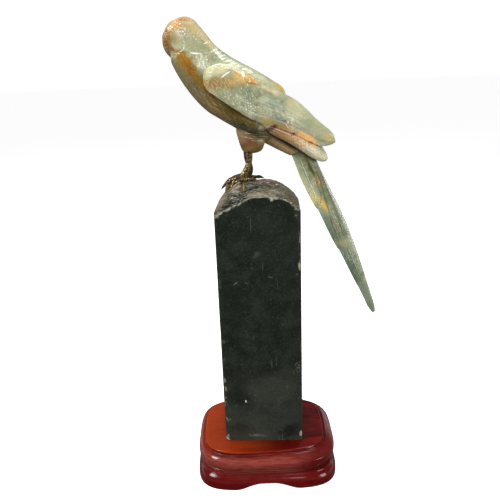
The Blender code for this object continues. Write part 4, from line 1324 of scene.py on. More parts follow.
class Palette:
    """Node tree of one material, built with short calls that return output sockets."""

    def __init__(self, tree: Tree) -> None:
        """Starts on an empty tree."""
        self.tree = tree
        tree.nodes.clear()

    def node(self, kind: str, inputs: dict[str | int, Value],
             **settings: str | float | bool) -> bpy.types.Node:
        """Adds a node, sets its settings, and sets or links its inputs.

        Args:
            kind: node type without its first word.
            inputs: value or socket for each input.
            settings: other settings of the node.

        Returns:
            The node.
        """
        node = self.tree.nodes.new("ShaderNode" + kind)
        for word, setting in settings.items():
            setattr(node, word, setting)
        for key, value in inputs.items():
            if isinstance(value, Socket):
                self.tree.links.new(value, node.inputs[key])
                continue
            target = node.inputs[key]
            if target.type == "RGBA":
                value = (*value, 1.0)
            target.default_value = value
        return node

    def place(self) -> Socket:
        """Place in the frame, in metres."""
        return self.node("TexCoord", {}).outputs["Object"]

    def trait(self, trait: Trait) -> Socket:
        """Value kept on the mesh under a name."""
        return self.node("Attribute", {}, attribute_name=trait.value).outputs["Fac"]

    def math(self, operation: str, *values: Value, clamp: bool = False) -> Socket:
        """Arithmetic on numbers."""
        inputs = dict(enumerate(values))
        return self.node("Math", inputs, operation=operation, use_clamp=clamp).outputs[0]

    def times(self, first: Value, second: Value, clamp: bool = False) -> Socket:
        """Product of two numbers."""
        return self.math("MULTIPLY", first, second, clamp=clamp)

    def plus(self, first: Value, second: Value, clamp: bool = False) -> Socket:
        """Sum of two numbers."""
        return self.math("ADD", first, second, clamp=clamp)

    def less(self, first: Value, second: Value) -> Socket:
        """First number less the second."""
        return self.math("SUBTRACT", first, second)

    def vector(self, operation: str, *values: Value) -> Socket:
        """Arithmetic on vectors; lengths come out as numbers."""
        node = self.node("VectorMath", dict(enumerate(values)), operation=operation)
        return node.outputs["Value" if operation == "LENGTH" else "Vector"]

    def noise(self, place: Socket, size: float, detail: float = 3.0, rough: float = .55,
              bend: float = 0.0) -> Socket:
        """Cloudy noise with features of about a size in metres."""
        inputs = {"Vector": place, "Scale": 1.0 / size, "Detail": detail, "Roughness": rough,
                  "Distortion": bend}
        return self.node("TexNoise", inputs).outputs["Fac"]

    def grains(self, place: Socket, size: float) -> Socket:
        """Even random value for each grain of about a size in metres."""
        node = self.node("TexVoronoi", {"Vector": place, "Scale": 1.0 / size})
        return self.node("SeparateColor", {0: node.outputs["Color"]}).outputs[0]

    def span(self, value: Socket, low: float, high: float, start: float = 0.0,
             end: float = 1.0) -> Socket:
        """Smooth step of a value between two limits, from a start to an end."""
        inputs = {0: value, 1: low, 2: high, 3: start, 4: end}
        return self.node("MapRange", inputs, interpolation_type="SMOOTHSTEP").outputs[0]

    def mix(self, share: Value, first: Value, second: Value, blend: str = "MIX") -> Socket:
        """Blend of two colours."""
        inputs = {0: share, 6: first, 7: second}
        node = self.node("Mix", inputs, data_type="RGBA", blend_type=blend)
        return node.outputs[2]

    def stretched(self, place: Socket, factors: Sequence[float]) -> Socket:
        """Place scaled by a factor on each axis."""
        return self.vector("MULTIPLY", place, factors)

    def leant(self, place: Socket, angle: Value) -> Socket:
        """Place turned about the cross axis of the bird."""
        inputs = {"Vector": place, "Angle": angle}
        return self.node("VectorRotate", inputs, rotation_type="Y_AXIS").outputs[0]

    def axes(self, place: Socket) -> bpy.types.bpy_prop_collection:
        """Three numbers of a place."""
        return self.node("SeparateXYZ", {0: place}).outputs

    def surface(self, inputs: dict[str | int, Value]) -> None:
        """Adds the shader with its inputs and shows it."""
        shader = self.node("BsdfPrincipled", inputs)
        self.node("OutputMaterial", {0: shader.outputs[0]})


def new_finish(name: str) -> tuple[Material, Palette]:
    """New material and the palette of its nodes."""
    material = bpy.data.materials.new(name)
    material.use_nodes = True
    return material, Palette(material.node_tree)


PATCH_SPREAD = 1.4
PATCH_NODES = "stone_patch"


class Part(Enum):
    """Which forms of a stone a patch of tone colours."""

    WHOLE = "everywhere"
    WING = "wing feathers only"
    TRUNK = "all but the wing feathers"


@dataclass(frozen=True)
class Patch:
    """Soft-edged patch of another tone, given the way the photo shows it: mostly the stone's own tones,
    with some painted shade and painted highlights.

    Its spot (x, y) and reach (wide, high) are in dots of the photo, and its fall is how many
    degrees it slopes down to the right. Its out is how far to the bird's left it lies, its depth
    and thickness a middle and a reach across the bird, all in shares of the bird's height.
    """

    x: float
    y: float
    wide: float
    high: float
    fall: float
    red: int
    green: int
    blue: int
    strength: float
    out: float = .15
    soft: float = .85
    ragged: float = .25
    depth: float = 0.0
    thickness: float = 1.0
    part: Part = Part.WHOLE

    def shade(self) -> Tone:
        """Its linear colour."""
        return tone(self.red, self.green, self.blue)

    def placed(self) -> tuple[tuple[float, ...], tuple[float, ...]]:
        """Middle and reach in shares: the spot carried to the plane it lies in, and one dot there."""
        x, z = seen_at((self.x, self.y), -self.out * FIGURE_HEIGHT)
        beside = seen_at((self.x + 1, self.y), -self.out * FIGURE_HEIGHT)
        dot = math.hypot(beside[0] - x, beside[1] - z) / FIGURE_HEIGHT * PATCH_SPREAD
        perch = figure_point(np.array(0.0), np.array(0.0))
        middle = ((x - perch[0]) / FIGURE_HEIGHT, self.depth, (z - perch[2]) / FIGURE_HEIGHT)
        return tuple(map(float, middle)), (self.wide * dot, self.thickness, self.high * dot)


@dataclass(frozen=True)
class Marking:
    """Rows of fine cuts inside a patch.

    Their fall is in degrees down to the right, their gap and dash are shares of the bird's height,
    the bow bends them, and the wander is how many gaps they stray.
    """

    patch: Patch
    fall: float
    gap: float
    dash: float
    bow: float = 0.0
    wander: float = 3.0


def patches(part: Part, *rows: Sequence[float]) -> tuple[Patch, ...]:
    """Patches of one part, each row with the numbers of a Patch in its order."""
    return tuple(Patch(*row, part=part) for row in rows)


def markings(part: Part, *rows: Sequence[float]) -> tuple[Marking, ...]:
    """Markings of one part, each row with ten numbers of its patch and then its own."""
    return tuple(Marking(Patch(*row[:10], part=part), *row[10:]) for row in rows)


def patch_nodes() -> None:
    """Makes the shared nodes that tell how far inside a patch a place is.

    The place is moved to the patch's middle, turned about the cross axis and divided by the reach;
    its distance with noise added falls from one to nothing at the patch's edge.
    """
    group = bpy.data.node_groups.new(PATCH_NODES, "ShaderNodeTree")
    for name, kind in (("Place", "Vector"), ("Middle", "Vector"), ("Reach", "Vector"),
                       ("Turn", "Float"), ("Wander", "Float"), ("Soft", "Float")):
        group.interface.new_socket(name=name, in_out="INPUT", socket_type="NodeSocket" + kind)
    group.interface.new_socket(name="Share", in_out="OUTPUT", socket_type="NodeSocketFloat")
    book = Palette(group)
    start = group.nodes.new("NodeGroupInput").outputs
    end = group.nodes.new("NodeGroupOutput").inputs
    moved = book.vector("SUBTRACT", start["Place"], start["Middle"])
    turned = book.leant(moved, start["Turn"])
    away = book.vector("LENGTH", book.vector("DIVIDE", turned, start["Reach"]))
    wandered = book.plus(away, start["Wander"])
    fall = book.math("DIVIDE", book.less(1.0, wandered), start["Soft"], clamp=True)
    eased = book.span(fall, 0.0, 1.0)
    group.links.new(eased, end["Share"])


def share_place(book: Palette) -> Socket:
    """Place in shares of the bird's height, out from its perch."""
    perch = figure_point(np.array(0.0), np.array(0.0))
    moved = book.vector("SUBTRACT", book.place(), tuple(map(float, perch)))
    return book.vector("MULTIPLY", moved, (1 / FIGURE_HEIGHT,) * 3)


def laid(book: Palette, patch: Patch, share: Socket, ragged: Value) -> Socket:
    """How much a patch colours a place.

    Args:
        book: the palette of the material.
        patch: the patch.
        share: place in shares.
        ragged: noise about zero that frays its edge.

    Returns:
        A number from 0 to the patch's strength.
    """
    node = book.tree.nodes.new("ShaderNodeGroup")
    node.node_tree = bpy.data.node_groups[PATCH_NODES]
    wander = book.times(ragged, 6.0 * patch.ragged)
    book.tree.links.new(share, node.inputs["Place"])
    book.tree.links.new(wander, node.inputs["Wander"])
    middle, reach = patch.placed()
    node.inputs["Middle"].default_value = middle
    node.inputs["Reach"].default_value = reach
    node.inputs["Turn"].default_value = math.radians(-patch.fall)
    node.inputs["Soft"].default_value = patch.soft
    return book.times(node.outputs[0], patch.strength)


def parts_shown(book: Palette) -> dict[Part, Value]:
    """Share of each part's patches that shows at a place."""
    wing = book.trait(Trait.WING)
    return {Part.WHOLE: 1.0, Part.WING: wing, Part.TRUNK: book.less(1.0, wing)}


def patched(book: Palette, ground: Socket, spots: Sequence[Patch]) -> Socket:
    """Lays each patch over the ground with a ragged soft edge."""
    share, shown = share_place(book), parts_shown(book)
    noise = book.noise(book.place(), .0085, 6, .66, 1.2)
    ragged = book.less(noise, .5)
    for patch in spots:
        amount = laid(book, patch, share, ragged)
        ground = book.mix(book.times(amount, shown[patch.part]), ground, patch.shade())
    return ground


def marked(book: Palette, ground: Socket, rows: Sequence[Marking]) -> Socket:
    """Lays rows of fine broken cuts over the ground.

    A cut is where a sine across the fall is high and a longer one along it is not low. The rows
    bow by the square of the way along them, and noise bends and breaks them.

    Args:
        book: the palette of the material.
        ground: colour under the cuts.
        rows: the rows of cuts.

    Returns:
        The colour with the cuts.
    """
    share, shown = share_place(book), parts_shown(book)
    ragged = book.less(book.noise(book.place(), .006, 4, .6), .5)
    kept = book.span(book.noise(book.place(), .0014, 2, .6), .36, .54)
    for marking in rows:
        patch = marking.patch
        moved = book.vector("SUBTRACT", share, patch.placed()[0])
        parts = book.axes(book.leant(moved, math.radians(-marking.fall)))
        bowed = book.times(book.times(parts[0], parts[0]), marking.bow)
        lane = book.math("DIVIDE", book.plus(parts[2], bowed), marking.gap)
        across = book.plus(lane, book.times(ragged, marking.wander))
        along = book.plus(book.math("DIVIDE", parts[0], marking.dash), book.times(across, .43))
        row = book.span(book.math("SINE", book.times(across, FULL_TURN)), 0.0, .6)
        dash = book.span(book.math("SINE", book.times(along, FULL_TURN)), -.5, .1)
        amount = laid(book, patch, share, ragged)
        for factor in (row, dash, kept, shown[patch.part]):
            amount = book.times(amount, factor)
        ground = book.mix(amount, ground, patch.shade())
    return ground


@dataclass(frozen=True)
class CarvedStone:
    """Polished milky green stone with clouds, veins and patches of warmer tones; some patches are painted
    shade and painted highlights, and the tail's crevices get painted shade.
    """

    name: str
    pale: Tone
    deep: Tone
    patches: tuple[Patch, ...]
    markings: tuple[Marking, ...]
    gloss: float = .2

    def clouds(self, book: Palette, place: Socket) -> Socket:
        """Ground of the stone: two greens in clouds, with milky wisps."""
        cloud = book.span(book.noise(place, .024, 5, .62, .9), .38, .62)
        ground = book.mix(cloud, self.deep, self.pale)
        wisp = book.span(book.noise(place, .0095, 5, .65, 1.6), .5, .72)
        ground = book.mix(book.times(wisp, .55), ground, tone(216, 220, 196))
        fog = book.noise(book.stretched(place, (1.0, 1.0, 1.6)), .015, 4, .6, 2.2)
        vein = book.span(book.math("ABSOLUTE", book.less(fog, .5)), 0.0, .018, .35, 0.0)
        ground = book.mix(vein, ground, tone(170, 146, 100))
        mottle = book.noise(place, .0042, 4, .62, .8)
        ground = book.mix(book.span(mottle, .54, .7, 0.0, .5), ground, tone(206, 196, 142))
        return book.mix(book.span(mottle, .3, .46, .5, 0.0), ground, tone(134, 148, 124))

    def dressed(self) -> Material:
        """Builds the material."""
        material, book = new_finish(self.name)
        place = book.place()
        colour = patched(book, self.clouds(book, place), self.patches)
        # Painted shade: the tail's crevices under each layer are darkened to an olive brown.
        seam = book.times(book.trait(Trait.DUSK), .75)
        colour = book.mix(seam, colour, tone(62, 62, 38))
        fine = book.noise(place, .0016, 4, .6)
        mottle = book.times(book.span(fine, .35, .6, 1.0, 0.0), .1)
        colour = book.mix(mottle, colour, (.25, .22, .13), "MULTIPLY")
        stroke = book.trait(Trait.STROKE)
        share = share_place(book)
        dull = [laid(book, patch, share, 0.0) for patch in DULL_PATCHES]
        dull = book.math("MAXIMUM", *dull)
        grain = book.noise(place, .00055, 2, .6)
        speck = book.times(book.span(grain, .6, .68), stroke)
        line = book.plus(book.trait(Trait.LINE), book.times(speck, .3), clamp=True)
        broken = book.times(line, book.span(book.noise(place, .0012, 2), .32, .5))
        colour = book.mix(broken, colour, tone(250, 250, 238))
        colour = marked(book, colour, self.markings)
        uv = book.node("UVMap", {}, uv_map="strokes").outputs[0]
        across = book.axes(uv)[1]
        wave = book.math("SINE", book.times(across, FULL_TURN))
        cut = book.times(book.times(wave, .5), stroke)
        relief = book.plus(cut, book.times(fine, .8))
        bump = book.node("Bump", {"Height": relief, "Distance": .0001, "Strength": .7})
        rough = book.plus(book.span(fine, .3, .7, self.gloss - .04, self.gloss + .08),
                          book.times(broken, .2))
        rough = book.plus(rough, book.times(dull, .45))
        book.surface({
            "Base Color": colour, "Roughness": rough, "Normal": bump.outputs[0],
            "Subsurface Weight": .25, "Subsurface Radius": (1.0, .95, .75),
            "Subsurface Scale": .0025, "Specular IOR Level": .6})
        return material


@dataclass(frozen=True)
class DarkStone:
    """Near-black green stone: semi-polished faces, pale bruised edges and a rough mixed top."""

    name: str = "dark_column_stone"

    def face(self, book: Palette, place: Socket) -> Socket:
        """Speckled dark face with its clouds, chips, a few fine scratches, and a painted reflection of
        the floor that lightens its bottom.
        """
        cloud = book.span(book.noise(place, .016, 5, .62), .35, .68)
        colour = book.mix(cloud, tone(27, 31, 26), tone(41, 46, 39))
        # Painted reflection of the floor: the face lightens towards its bottom.
        upright = book.axes(place)[2]
        low = book.span(upright, BOARD_TOP, BOARD_TOP + .09, .2, 0.0)
        colour = book.mix(low, colour, tone(96, 98, 88))
        colour = patched(book, colour, FACE_PATCHES)
        grain = book.noise(place, .0012, 3, .7)
        colour = book.mix(book.span(grain, .56, .72, 0.0, .46), colour, tone(84, 96, 82))
        colour = book.mix(book.span(grain, .3, .47, .6, 0.0), colour, tone(12, 14, 10))
        fleck = book.span(book.grains(place, .0007), .965, 1.0, 0.0, .25)
        colour = book.mix(fleck, colour, tone(104, 108, 96))
        upright = book.noise(book.stretched(place, (1.0, 1.0, .05)), .0012, 2)
        scratch = book.times(book.span(upright, .66, .72), book.span(book.noise(place, .02, 2), .48, .6))
        colour = book.mix(book.times(scratch, .4), colour, tone(130, 134, 120))
        loops = book.less(book.noise(place, .011, 1, .5, 2.6), .5)
        curl = book.span(book.math("ABSOLUTE", loops), 0.0, .005, 1.0, 0.0)
        curl = book.times(curl, book.span(book.noise(place, .009, 2), .54, .64))
        return book.mix(book.times(curl, .3), colour, tone(124, 130, 116))

    def crust(self, book: Palette, place: Socket) -> Socket:
        """Rough top: bands of brown, olive, grey and pale stone, streaked along their length."""
        drawn_out = book.stretched(place, (.3, 1.0, 1.6))
        streak = book.noise(drawn_out, .0034, 5, .66, .8)
        ground = book.mix(book.span(streak, .38, .62), tone(52, 52, 42), tone(116, 112, 94))
        colour = patched(book, ground, COLUMN_PATCHES)
        pale = book.span(book.noise(drawn_out, .003, 4, .6), .56, .68, 0.0, .55)
        colour = book.mix(pale, colour, tone(196, 190, 170))
        crisp = book.span(book.noise(drawn_out, .0012, 3, .66), .56, .62, 0.0, .6)
        colour = book.mix(crisp, colour, tone(208, 206, 190))
        pits = book.span(book.noise(drawn_out, .0014, 3, .66), .38, .48, .75, 0.0)
        return book.mix(pits, colour, tone(30, 30, 24))

    def scars(self, book: Palette, place: Socket, colour: Socket) -> Socket:
        """Slanting pale scars where the face's upper left corner is broken."""
        turned = book.leant(place, math.radians(38))
        lines = book.noise(book.stretched(turned, (.15, 1.0, 1.0)), .0016, 3, .6)
        ragged = book.less(book.noise(place, .004, 4), .5)
        where = laid(book, SCAR_PATCH, share_place(book), ragged)
        shown = book.times(where, book.span(lines, .5, .62))
        return book.mix(shown, colour, SCAR_PATCH.shade())

    def dressed(self) -> Material:
        """Builds the material."""
        material, book = new_finish(self.name)
        place = book.place()
        rough_share = book.trait(Trait.ROUGH)
        face = self.scars(book, place, self.face(book, place))
        colour = book.mix(rough_share, face, self.crust(book, place))
        middle = book.less(1.0, rough_share)
        rim = book.times(book.times(rough_share, middle), 3.6, clamp=True)
        rim = book.times(rim, book.span(book.noise(place, .003, 3), .36, .52))
        colour = book.mix(rim, colour, tone(188, 184, 166))
        bruise = book.times(book.trait(Trait.CHIP), book.span(book.noise(place, .002, 3), .42, .6))
        colour = book.mix(book.times(bruise, .8), colour, tone(186, 182, 164))
        fine = book.noise(place, .0009, 4, .65)
        worn = book.math("MAXIMUM", rough_share, bruise)
        height = book.times(fine, book.plus(.1, worn))
        bump = book.node("Bump", {"Height": height, "Distance": .0006, "Strength": .8})
        smear = book.noise(place, .011, 4, .6)
        rough = book.plus(book.span(smear, .35, .65, .3, .44), book.times(worn, .45), clamp=True)
        book.surface({
            "Base Color": colour, "Roughness": rough, "Normal": bump.outputs[0],
            "Specular IOR Level": .22})
        return material


@dataclass(frozen=True)
class RedLacquer:
    """Clear red lacquer over wood, darker in its grain, with painted light on its left, a band of dust
    and painted sheen on the moulded edge, and painted shade to the right.
    """

    name: str = "red_lacquer"

    def dressed(self) -> Material:
        """Builds the material."""
        material, book = new_finish(self.name)
        place = book.place()
        grain = book.noise(book.stretched(place, (.1, 1.0, 1.0)), .0016, 4, .6, .4)
        figure = book.noise(book.stretched(place, (.25, 1.0, 1.0)), .014, 4, .6, .8)
        parts = book.axes(place)
        bend = book.times(book.less(figure, .5), .05)
        across = book.plus(book.plus(parts[0], bend), book.times(parts[1], .25))
        edge_z = FOOT_BOARD_HEIGHT + SEAT_GAP + TOP_BOARD_HEIGHT * .91
        panel = book.span(parts[2], BOARD_TOP - .0016, BOARD_TOP - .0004)
        # Painted light: the panel's top towards the left and the stand's left side turn a brighter orange
        # red, as if lit from the left.
        painted_light_left = book.times(panel, book.span(across, STAND_X - .058, STAND_X + .012, 1.0, 0.0))
        flank = book.span(parts[0], STAND_X - .066, STAND_X - .044, .65, 0.0)
        deep = book.mix(book.span(figure, .34, .66), tone(64, 2, 2), tone(104, 14, 8))
        colour = book.mix(book.math("MAXIMUM", painted_light_left, flank), deep, tone(152, 52, 14))
        # A lighter pinkish band on the upper board's moulded edge: dust with a painted sheen, turning to
        # painted shade towards the right.
        rim = book.span(parts[2], edge_z - .003, edge_z, 1.0, 0.0)
        dust_and_sheen = book.mix(book.span(grain, .4, .6), tone(122, 44, 36), tone(146, 70, 60))
        shaded = book.span(parts[0], STAND_X + .014, STAND_X + .046, 0.0, .85)
        dust_and_sheen = book.mix(shaded, dust_and_sheen, tone(84, 8, 6))
        colour = book.mix(rim, colour, dust_and_sheen)
        low = book.span(parts[2], FOOT_BOARD_HEIGHT - .0006, FOOT_BOARD_HEIGHT + .001, 1.0, 0.0)
        colour = book.mix(low, colour, book.mix(figure, tone(76, 6, 8), tone(112, 22, 20)))
        dark = book.times(book.span(grain, .54, .66), .35)
        colour = book.mix(dark, colour, tone(44, 4, 4))
        waves = book.plus(book.times(grain, .6), book.noise(place, .004, 3))
        bump = book.node("Bump", {"Height": waves, "Distance": .0003, "Strength": .25})
        rough = book.span(book.noise(place, .009, 4), .35, .65, .12, .24)
        book.surface({
            "Base Color": colour, "Roughness": rough, "Normal": bump.outputs[0],
            "Specular IOR Level": .3, "Coat Weight": .05, "Coat Roughness": .06})
        return material


@dataclass(frozen=True)
class AgedBrass:
    """Brass gone brown and dull in its hollows, with brighter flecks where it is rubbed, painted shade
    over the far leg and painted light low on the near foot.
    """

    name: str = "aged_brass"

    def dressed(self) -> Material:
        """Builds the material."""
        material, book = new_finish(self.name)
        place = book.place()
        fleck = book.noise(place, .0013, 4, .65)
        tarnish = book.noise(place, .005, 3)
        colour = book.mix(book.span(fleck, .42, .6), tone(60, 44, 26), tone(166, 146, 104))
        colour = book.mix(book.span(tarnish, .48, .62, 0.0, .6), colour, tone(84, 62, 38))
        # Painted shade: the far leg, on the bird's right, is darkened to a near-black brown.
        inward = book.axes(place)[1]
        dark = book.span(inward, -.006, .002, 0.0, .8)
        colour = book.mix(dark, colour, tone(34, 24, 16))
        # Painted light: the near foot lightens to a pale brass below its sole, where it stands in shade
        # under the foot.
        upright = book.axes(place)[2]
        sole = float(figure_point(np.array(0.0), np.array(.04))[2])
        low = book.span(upright, sole - .002, sole, .7, 0.0)
        colour = book.mix(book.times(low, book.less(1.0, dark)), colour, tone(196, 168, 112))
        bump = book.node("Bump", {"Height": fleck, "Distance": .0004, "Strength": .7})
        rough = book.span(fleck, .4, .62, .58, .3)
        book.surface({
            "Base Color": colour, "Roughness": rough, "Normal": bump.outputs[0],
            "Metallic": .8})
        return material


# Patches of the body's stone, laid in this order: spot, reach, fall, tone, strength and out, then
# softness, fray, depth and thickness where they aren't the usual ones; some are painted shade and some
# painted highlights, marked where they stand

WHOLE, WING, TRUNK = Part
CUT_WHITE = (252, 250, 236)

BODY_PATCHES = (
    *patches(TRUNK,
        # Brown underside, with painted shade under the wing.
        (232, 118, 68, 18.6, 38, 118, 98, 60, 1, .15, .25, .1),
        (182, 78, 30, 9, 58, 130, 116, 80, .95, .1, .7, .2), (201, 99, 17, 8, 50, 126, 114, 80, .8, .12),
        (213, 108, 14, 8, 45, 148, 120, 70, .9, .12), (222, 117, 16, 7, 30, 160, 128, 66, .9, .12),
        # Painted shade along the wing's lower edge.
        (232, 113, 34, 5.5, 36, 114, 96, 32, .95, .13, .8, .15),
        # The thigh's brown, with painted shade from the belly.
        (247, 143, 13, 12, 0, 104, 70, 26, .97, .12, .8, .2),
        # Painted shadow under the wing's lower edge, reaching over the top of the thigh.
        (250, 129, 20, 6.5, 24, 56, 50, 10, .97, .12, .8, .2),
        # Painted shade under the wing's lobe, behind the thigh.
        (263, 137, 10, 4.5, 12, 84, 86, 54, .85, .12),
        (247, 141, 5, 2.4, -20, 112, 48, 10, .6, .12, .85, .45),
        (250, 149, 7, 3.5, 0, 140, 112, 64, .6, .12), (284, 150, 22, 9, 30, 210, 178, 126, .95, .08),
        (288, 144, 18, 3, 33, 72, 58, 26, .9, .1)),
    *patches(WHOLE,
        (185, 26, 20, 12, -10, 196, 166, 112, .7, .1, .9, .3),
        (173.5, 25, 12, 7, -34, 196, 142, 66, .9, .1), (166, 31, 5, 6, -50, 190, 138, 66, .9, .1),
        (184, 17, 13, 4.6, 2, 166, 114, 24, 1, .06, .7, .2),
        (187, 20.5, 8, 1.2, 6, 132, 72, 20, .85, .07, .8, .2),
        (168.5, 33, 5, .9, -12, 146, 100, 52, .8, .07, .8, .2),
        (166.4, 31, 1.3, .9, 0, 104, 66, 36, .9, .06, .8, .2),
        (198, 31, 14, 8, 55, 212, 190, 136, .85, .1, .85, .35),
        (209, 42, 14, 4.5, 48, 212, 196, 150, .8, .11, .85, .35),
        (190, 43, 15, 8, 20, 164, 164, 128, .8, .1), (173, 40, 5, 7, 10, 166, 142, 100, .75, .1),
        (169, 42, 9, 3, 75, 148, 110, 56, .75, .07, .85, .3),
        (164.5, 41, 11, 3.2, 77, 140, 92, 28, .95, .05, .8, .2),
        (171.5, 49, 6, 2.6, 42, 140, 92, 34, .9, .1),
        (167.5, 54, 8, 2.6, 66, 130, 108, 68, .9, .06, .8, .2)),
    *patches(TRUNK,
        (202, 65, 7, 10, 70, 168, 174, 138, .75, .13, .85, .35),
        (179, 54, 8, 4.5, 30, 160, 116, 44, .9, .11), (186, 62, 14, 7, 54, 150, 108, 18, 1, .12, .7, .2),
        (191, 69, 7, 5, 58, 134, 86, 0, .95, .12, .8, .2),
        (199, 80, 11, 4, 60, 142, 106, 22, .95, .13, .8, .2),
        (209, 92, 8, 2.2, 45, 120, 70, 26, .9, .13, .8, .2),
        (232, 59, 20, 4.5, 24, 150, 166, 134, .7, .1, .9, .35)),
    *patches(WING,
        (217, 70, 16, 8, -8, 222, 216, 172, .9, .18, .85, .3),
        (219, 83, 21, 7.5, 0, 156, 126, 64, .95, .18, .8, .25),
        (208, 86, 7, 7, 60, 158, 122, 62, .8, .17), (236, 81, 14, 4.5, 4, 198, 164, 98, .85, .18),
        (243, 77, 15, 5.2, 20, 216, 174, 92, .9, .18), (252, 80, 8, 4, 32, 208, 154, 68, .85, .17),
        (255, 84, 11, 1.2, 12, 150, 96, 44, .75, .17), (268, 89, 12, 2, 30, 206, 172, 112, .65, .14)),
    *patches(WHOLE,
        (281, 88, 12, 2.8, 38, 206, 168, 90, .9, .1, .85, .25, -.05, .3)),
    *patches(WING,
        (250, 96, 9, 8, 0, 118, 136, 106, .8, .18, .9, .4),
        (276, 104, 11, 6, 20, 126, 142, 112, .8, .17, .9, .4),
        (263, 99.5, 6, 4, 0, 202, 206, 172, .75, .18, .9, .4),
        (226, 96, 9, 7, 35, 172, 172, 134, .6, .18, .9, .4),
        (282, 121, 10, 5, 34, 124, 142, 114, .8, .15, .9, .4),
        (299, 111, 17, 10, 45, 216, 212, 168, .8, .14, .9, .35),
        (292, 101, 6, 4, 40, 210, 186, 142, .6, .12, .9, .4),
        (258, 114, 9, 5, 40, 188, 190, 152, .6, .17, .9, .4),
        (306, 124, 8, 4, 35, 150, 164, 126, .6, .13, .9, .4),
        (320, 129, 16, 7, 40, 192, 192, 144, .7, .1, .9, .35),
        (330, 138, 7, 5, 30, 212, 190, 128, .85, .08), (267, 122, 10, 5, 28, 184, 162, 96, .9, .15),
        (290, 136, 24, 9, 27, 192, 140, 74, .97, .14, .75, .22),
        (280, 131, 11, 5, 24, 148, 98, 38, .8, .14, .85, .3),
        (310, 141, 14, 5.5, 36, 250, 190, 100, .95, .12),
        (318, 155, 16, 6.5, 34, 230, 222, 178, .9, .1, .8, .25),
        (310, 150, 9, 3.5, 34, 236, 220, 184, .8, .1, .85, .35),
        (303, 145, 8, 3.5, 30, 226, 176, 112, .85, .12)),
    *patches(WHOLE,
        (271.5, 128, 6.4, 2.5, -28, 92, 34, 0, 1, .14, .6, .25),
        (293.5, 134, 2.6, 1.8, 0, 112, 54, 16, .9, .14),
        (311, 143.5, 3.2, 1.6, 10, 132, 62, 20, .85, .13)),
    # Painted highlights: white glints on the wing's shoulder.
    *patches(WING,
        (225.5, 74.5, 5.5, .9, -33, 250, 250, 244, .95, .18, .4, .1, -.17, .05),
        (243, 73.5, 3.5, 1.4, 78, 250, 250, 240, .95, .18, .4, .15, -.17, .05)),
    # Painted highlights: white glints on the hood.
    *patches(WHOLE,
        (194.8, 53.2, 4, .6, 8, 250, 248, 230, .85, .12, .4, .15, -.12, .06),
        (216.5, 53, 7, .8, 52, 250, 248, 232, .85, .12, .4, .15, -.12, .06)))

TAIL_PATCHES = patches(WHOLE,
    # The patches at (306, 160) and (312, 170) are painted shade under the wing's tips at the tail's root.
    (304, 183, 36, 6, 63, 194, 196, 158, .85, .04), (306, 160, 11, 6, 62, 124, 124, 82, .85, .06),
    (312, 170, 12, 2.4, 62, 88, 90, 44, .95, .04), (322, 177, 18, 5, 60, 116, 118, 82, .8, .04),
    (318, 182, 7, 2.8, 62, 182, 136, 66, .85, .04, .85, .4),
    (315, 198, 11, 4.2, 62, 216, 204, 138, .9, .04), (324, 205, 10, 3, 66, 236, 196, 100, .95, .04),
    (332, 196, 34, 6.5, 62, 124, 130, 96, .75, .04),
    (336, 224, 6, 2.5, 62, 150, 120, 76, .6, .04, .85, .4),
    (328, 224, 16, 4.5, 60, 154, 170, 144, .6, .04), (342, 244, 11, 4, -5, 192, 192, 148, .8, .04),
    (346, 258, 12, 7, 62, 152, 170, 150, .7, .04), (352, 272, 14, 5, 60, 110, 134, 118, .6, .04, .85, .4),
    (366, 297, 22, 8, 68, 148, 160, 136, .8, .04))

# Where the stone has lost its polish: the crown and the thigh, whose tone isn't read

DULL_PATCHES = patches(WHOLE,
    (182, 19, 17, 9, 0, *CUT_WHITE, 1, .06), (249, 138, 14, 11, 10, *CUT_WHITE, 1, .12))

# Rows of fine pale cuts: patch, fall, gap, length of a dash, bow and wander

BODY_MARKINGS = (
    *markings(WHOLE,
        (175, 26, 12, 5, -30, *CUT_WHITE, .6, .1, -35, .015, .018),
        (183, 32, 7, 5, 0, *CUT_WHITE, 1, .1, 0, .014, .016),
        (182.5, 41, 3, 7, 0, *CUT_WHITE, .35, .1, 90, .016, .022),
        (199, 36, 8, 6, 45, *CUT_WHITE, .6, .1, 48, .015, .02)),
    *markings(TRUNK,
        (203.5, 62, 7, 8, 0, *CUT_WHITE, .95, .13, 84, .0145, .08),
        (218, 54, 8, 5, 45, *CUT_WHITE, .6, .12, 60, .016, .04)),
    *markings(WING,
        (213, 67, 12, 6, -10, *CUT_WHITE, .6, .18, 88, .015, .08),
        (220, 84, 17, 8, 5, 228, 208, 164, .55, .18, 68, .012, .05),
        (250, 107, 9, 14, -50, *CUT_WHITE, 1, .18, 25, .014, .016),
        (228, 96, 14, 6, 35, *CUT_WHITE, .4, .18, 30, .016, .026),
        (276, 112, 18, 9, 30, *CUT_WHITE, .45, .16, 28, .017, .04),
        (291, 123, 6, 7, 60, *CUT_WHITE, 1, .14, 55, .016, .06)),
    *markings(TRUNK,
        (257, 137, 17, 6, 8, 216, 204, 160, .75, .12, 5, .0128, .15, -.8, .8),
        (215, 108, 26, 8, 45, 206, 190, 148, .55, .12, 42, .013, .08)),
    *markings(WING,
        (311, 150, 18, 9, 34, *CUT_WHITE, .9, .12, 32, .015, .03)))

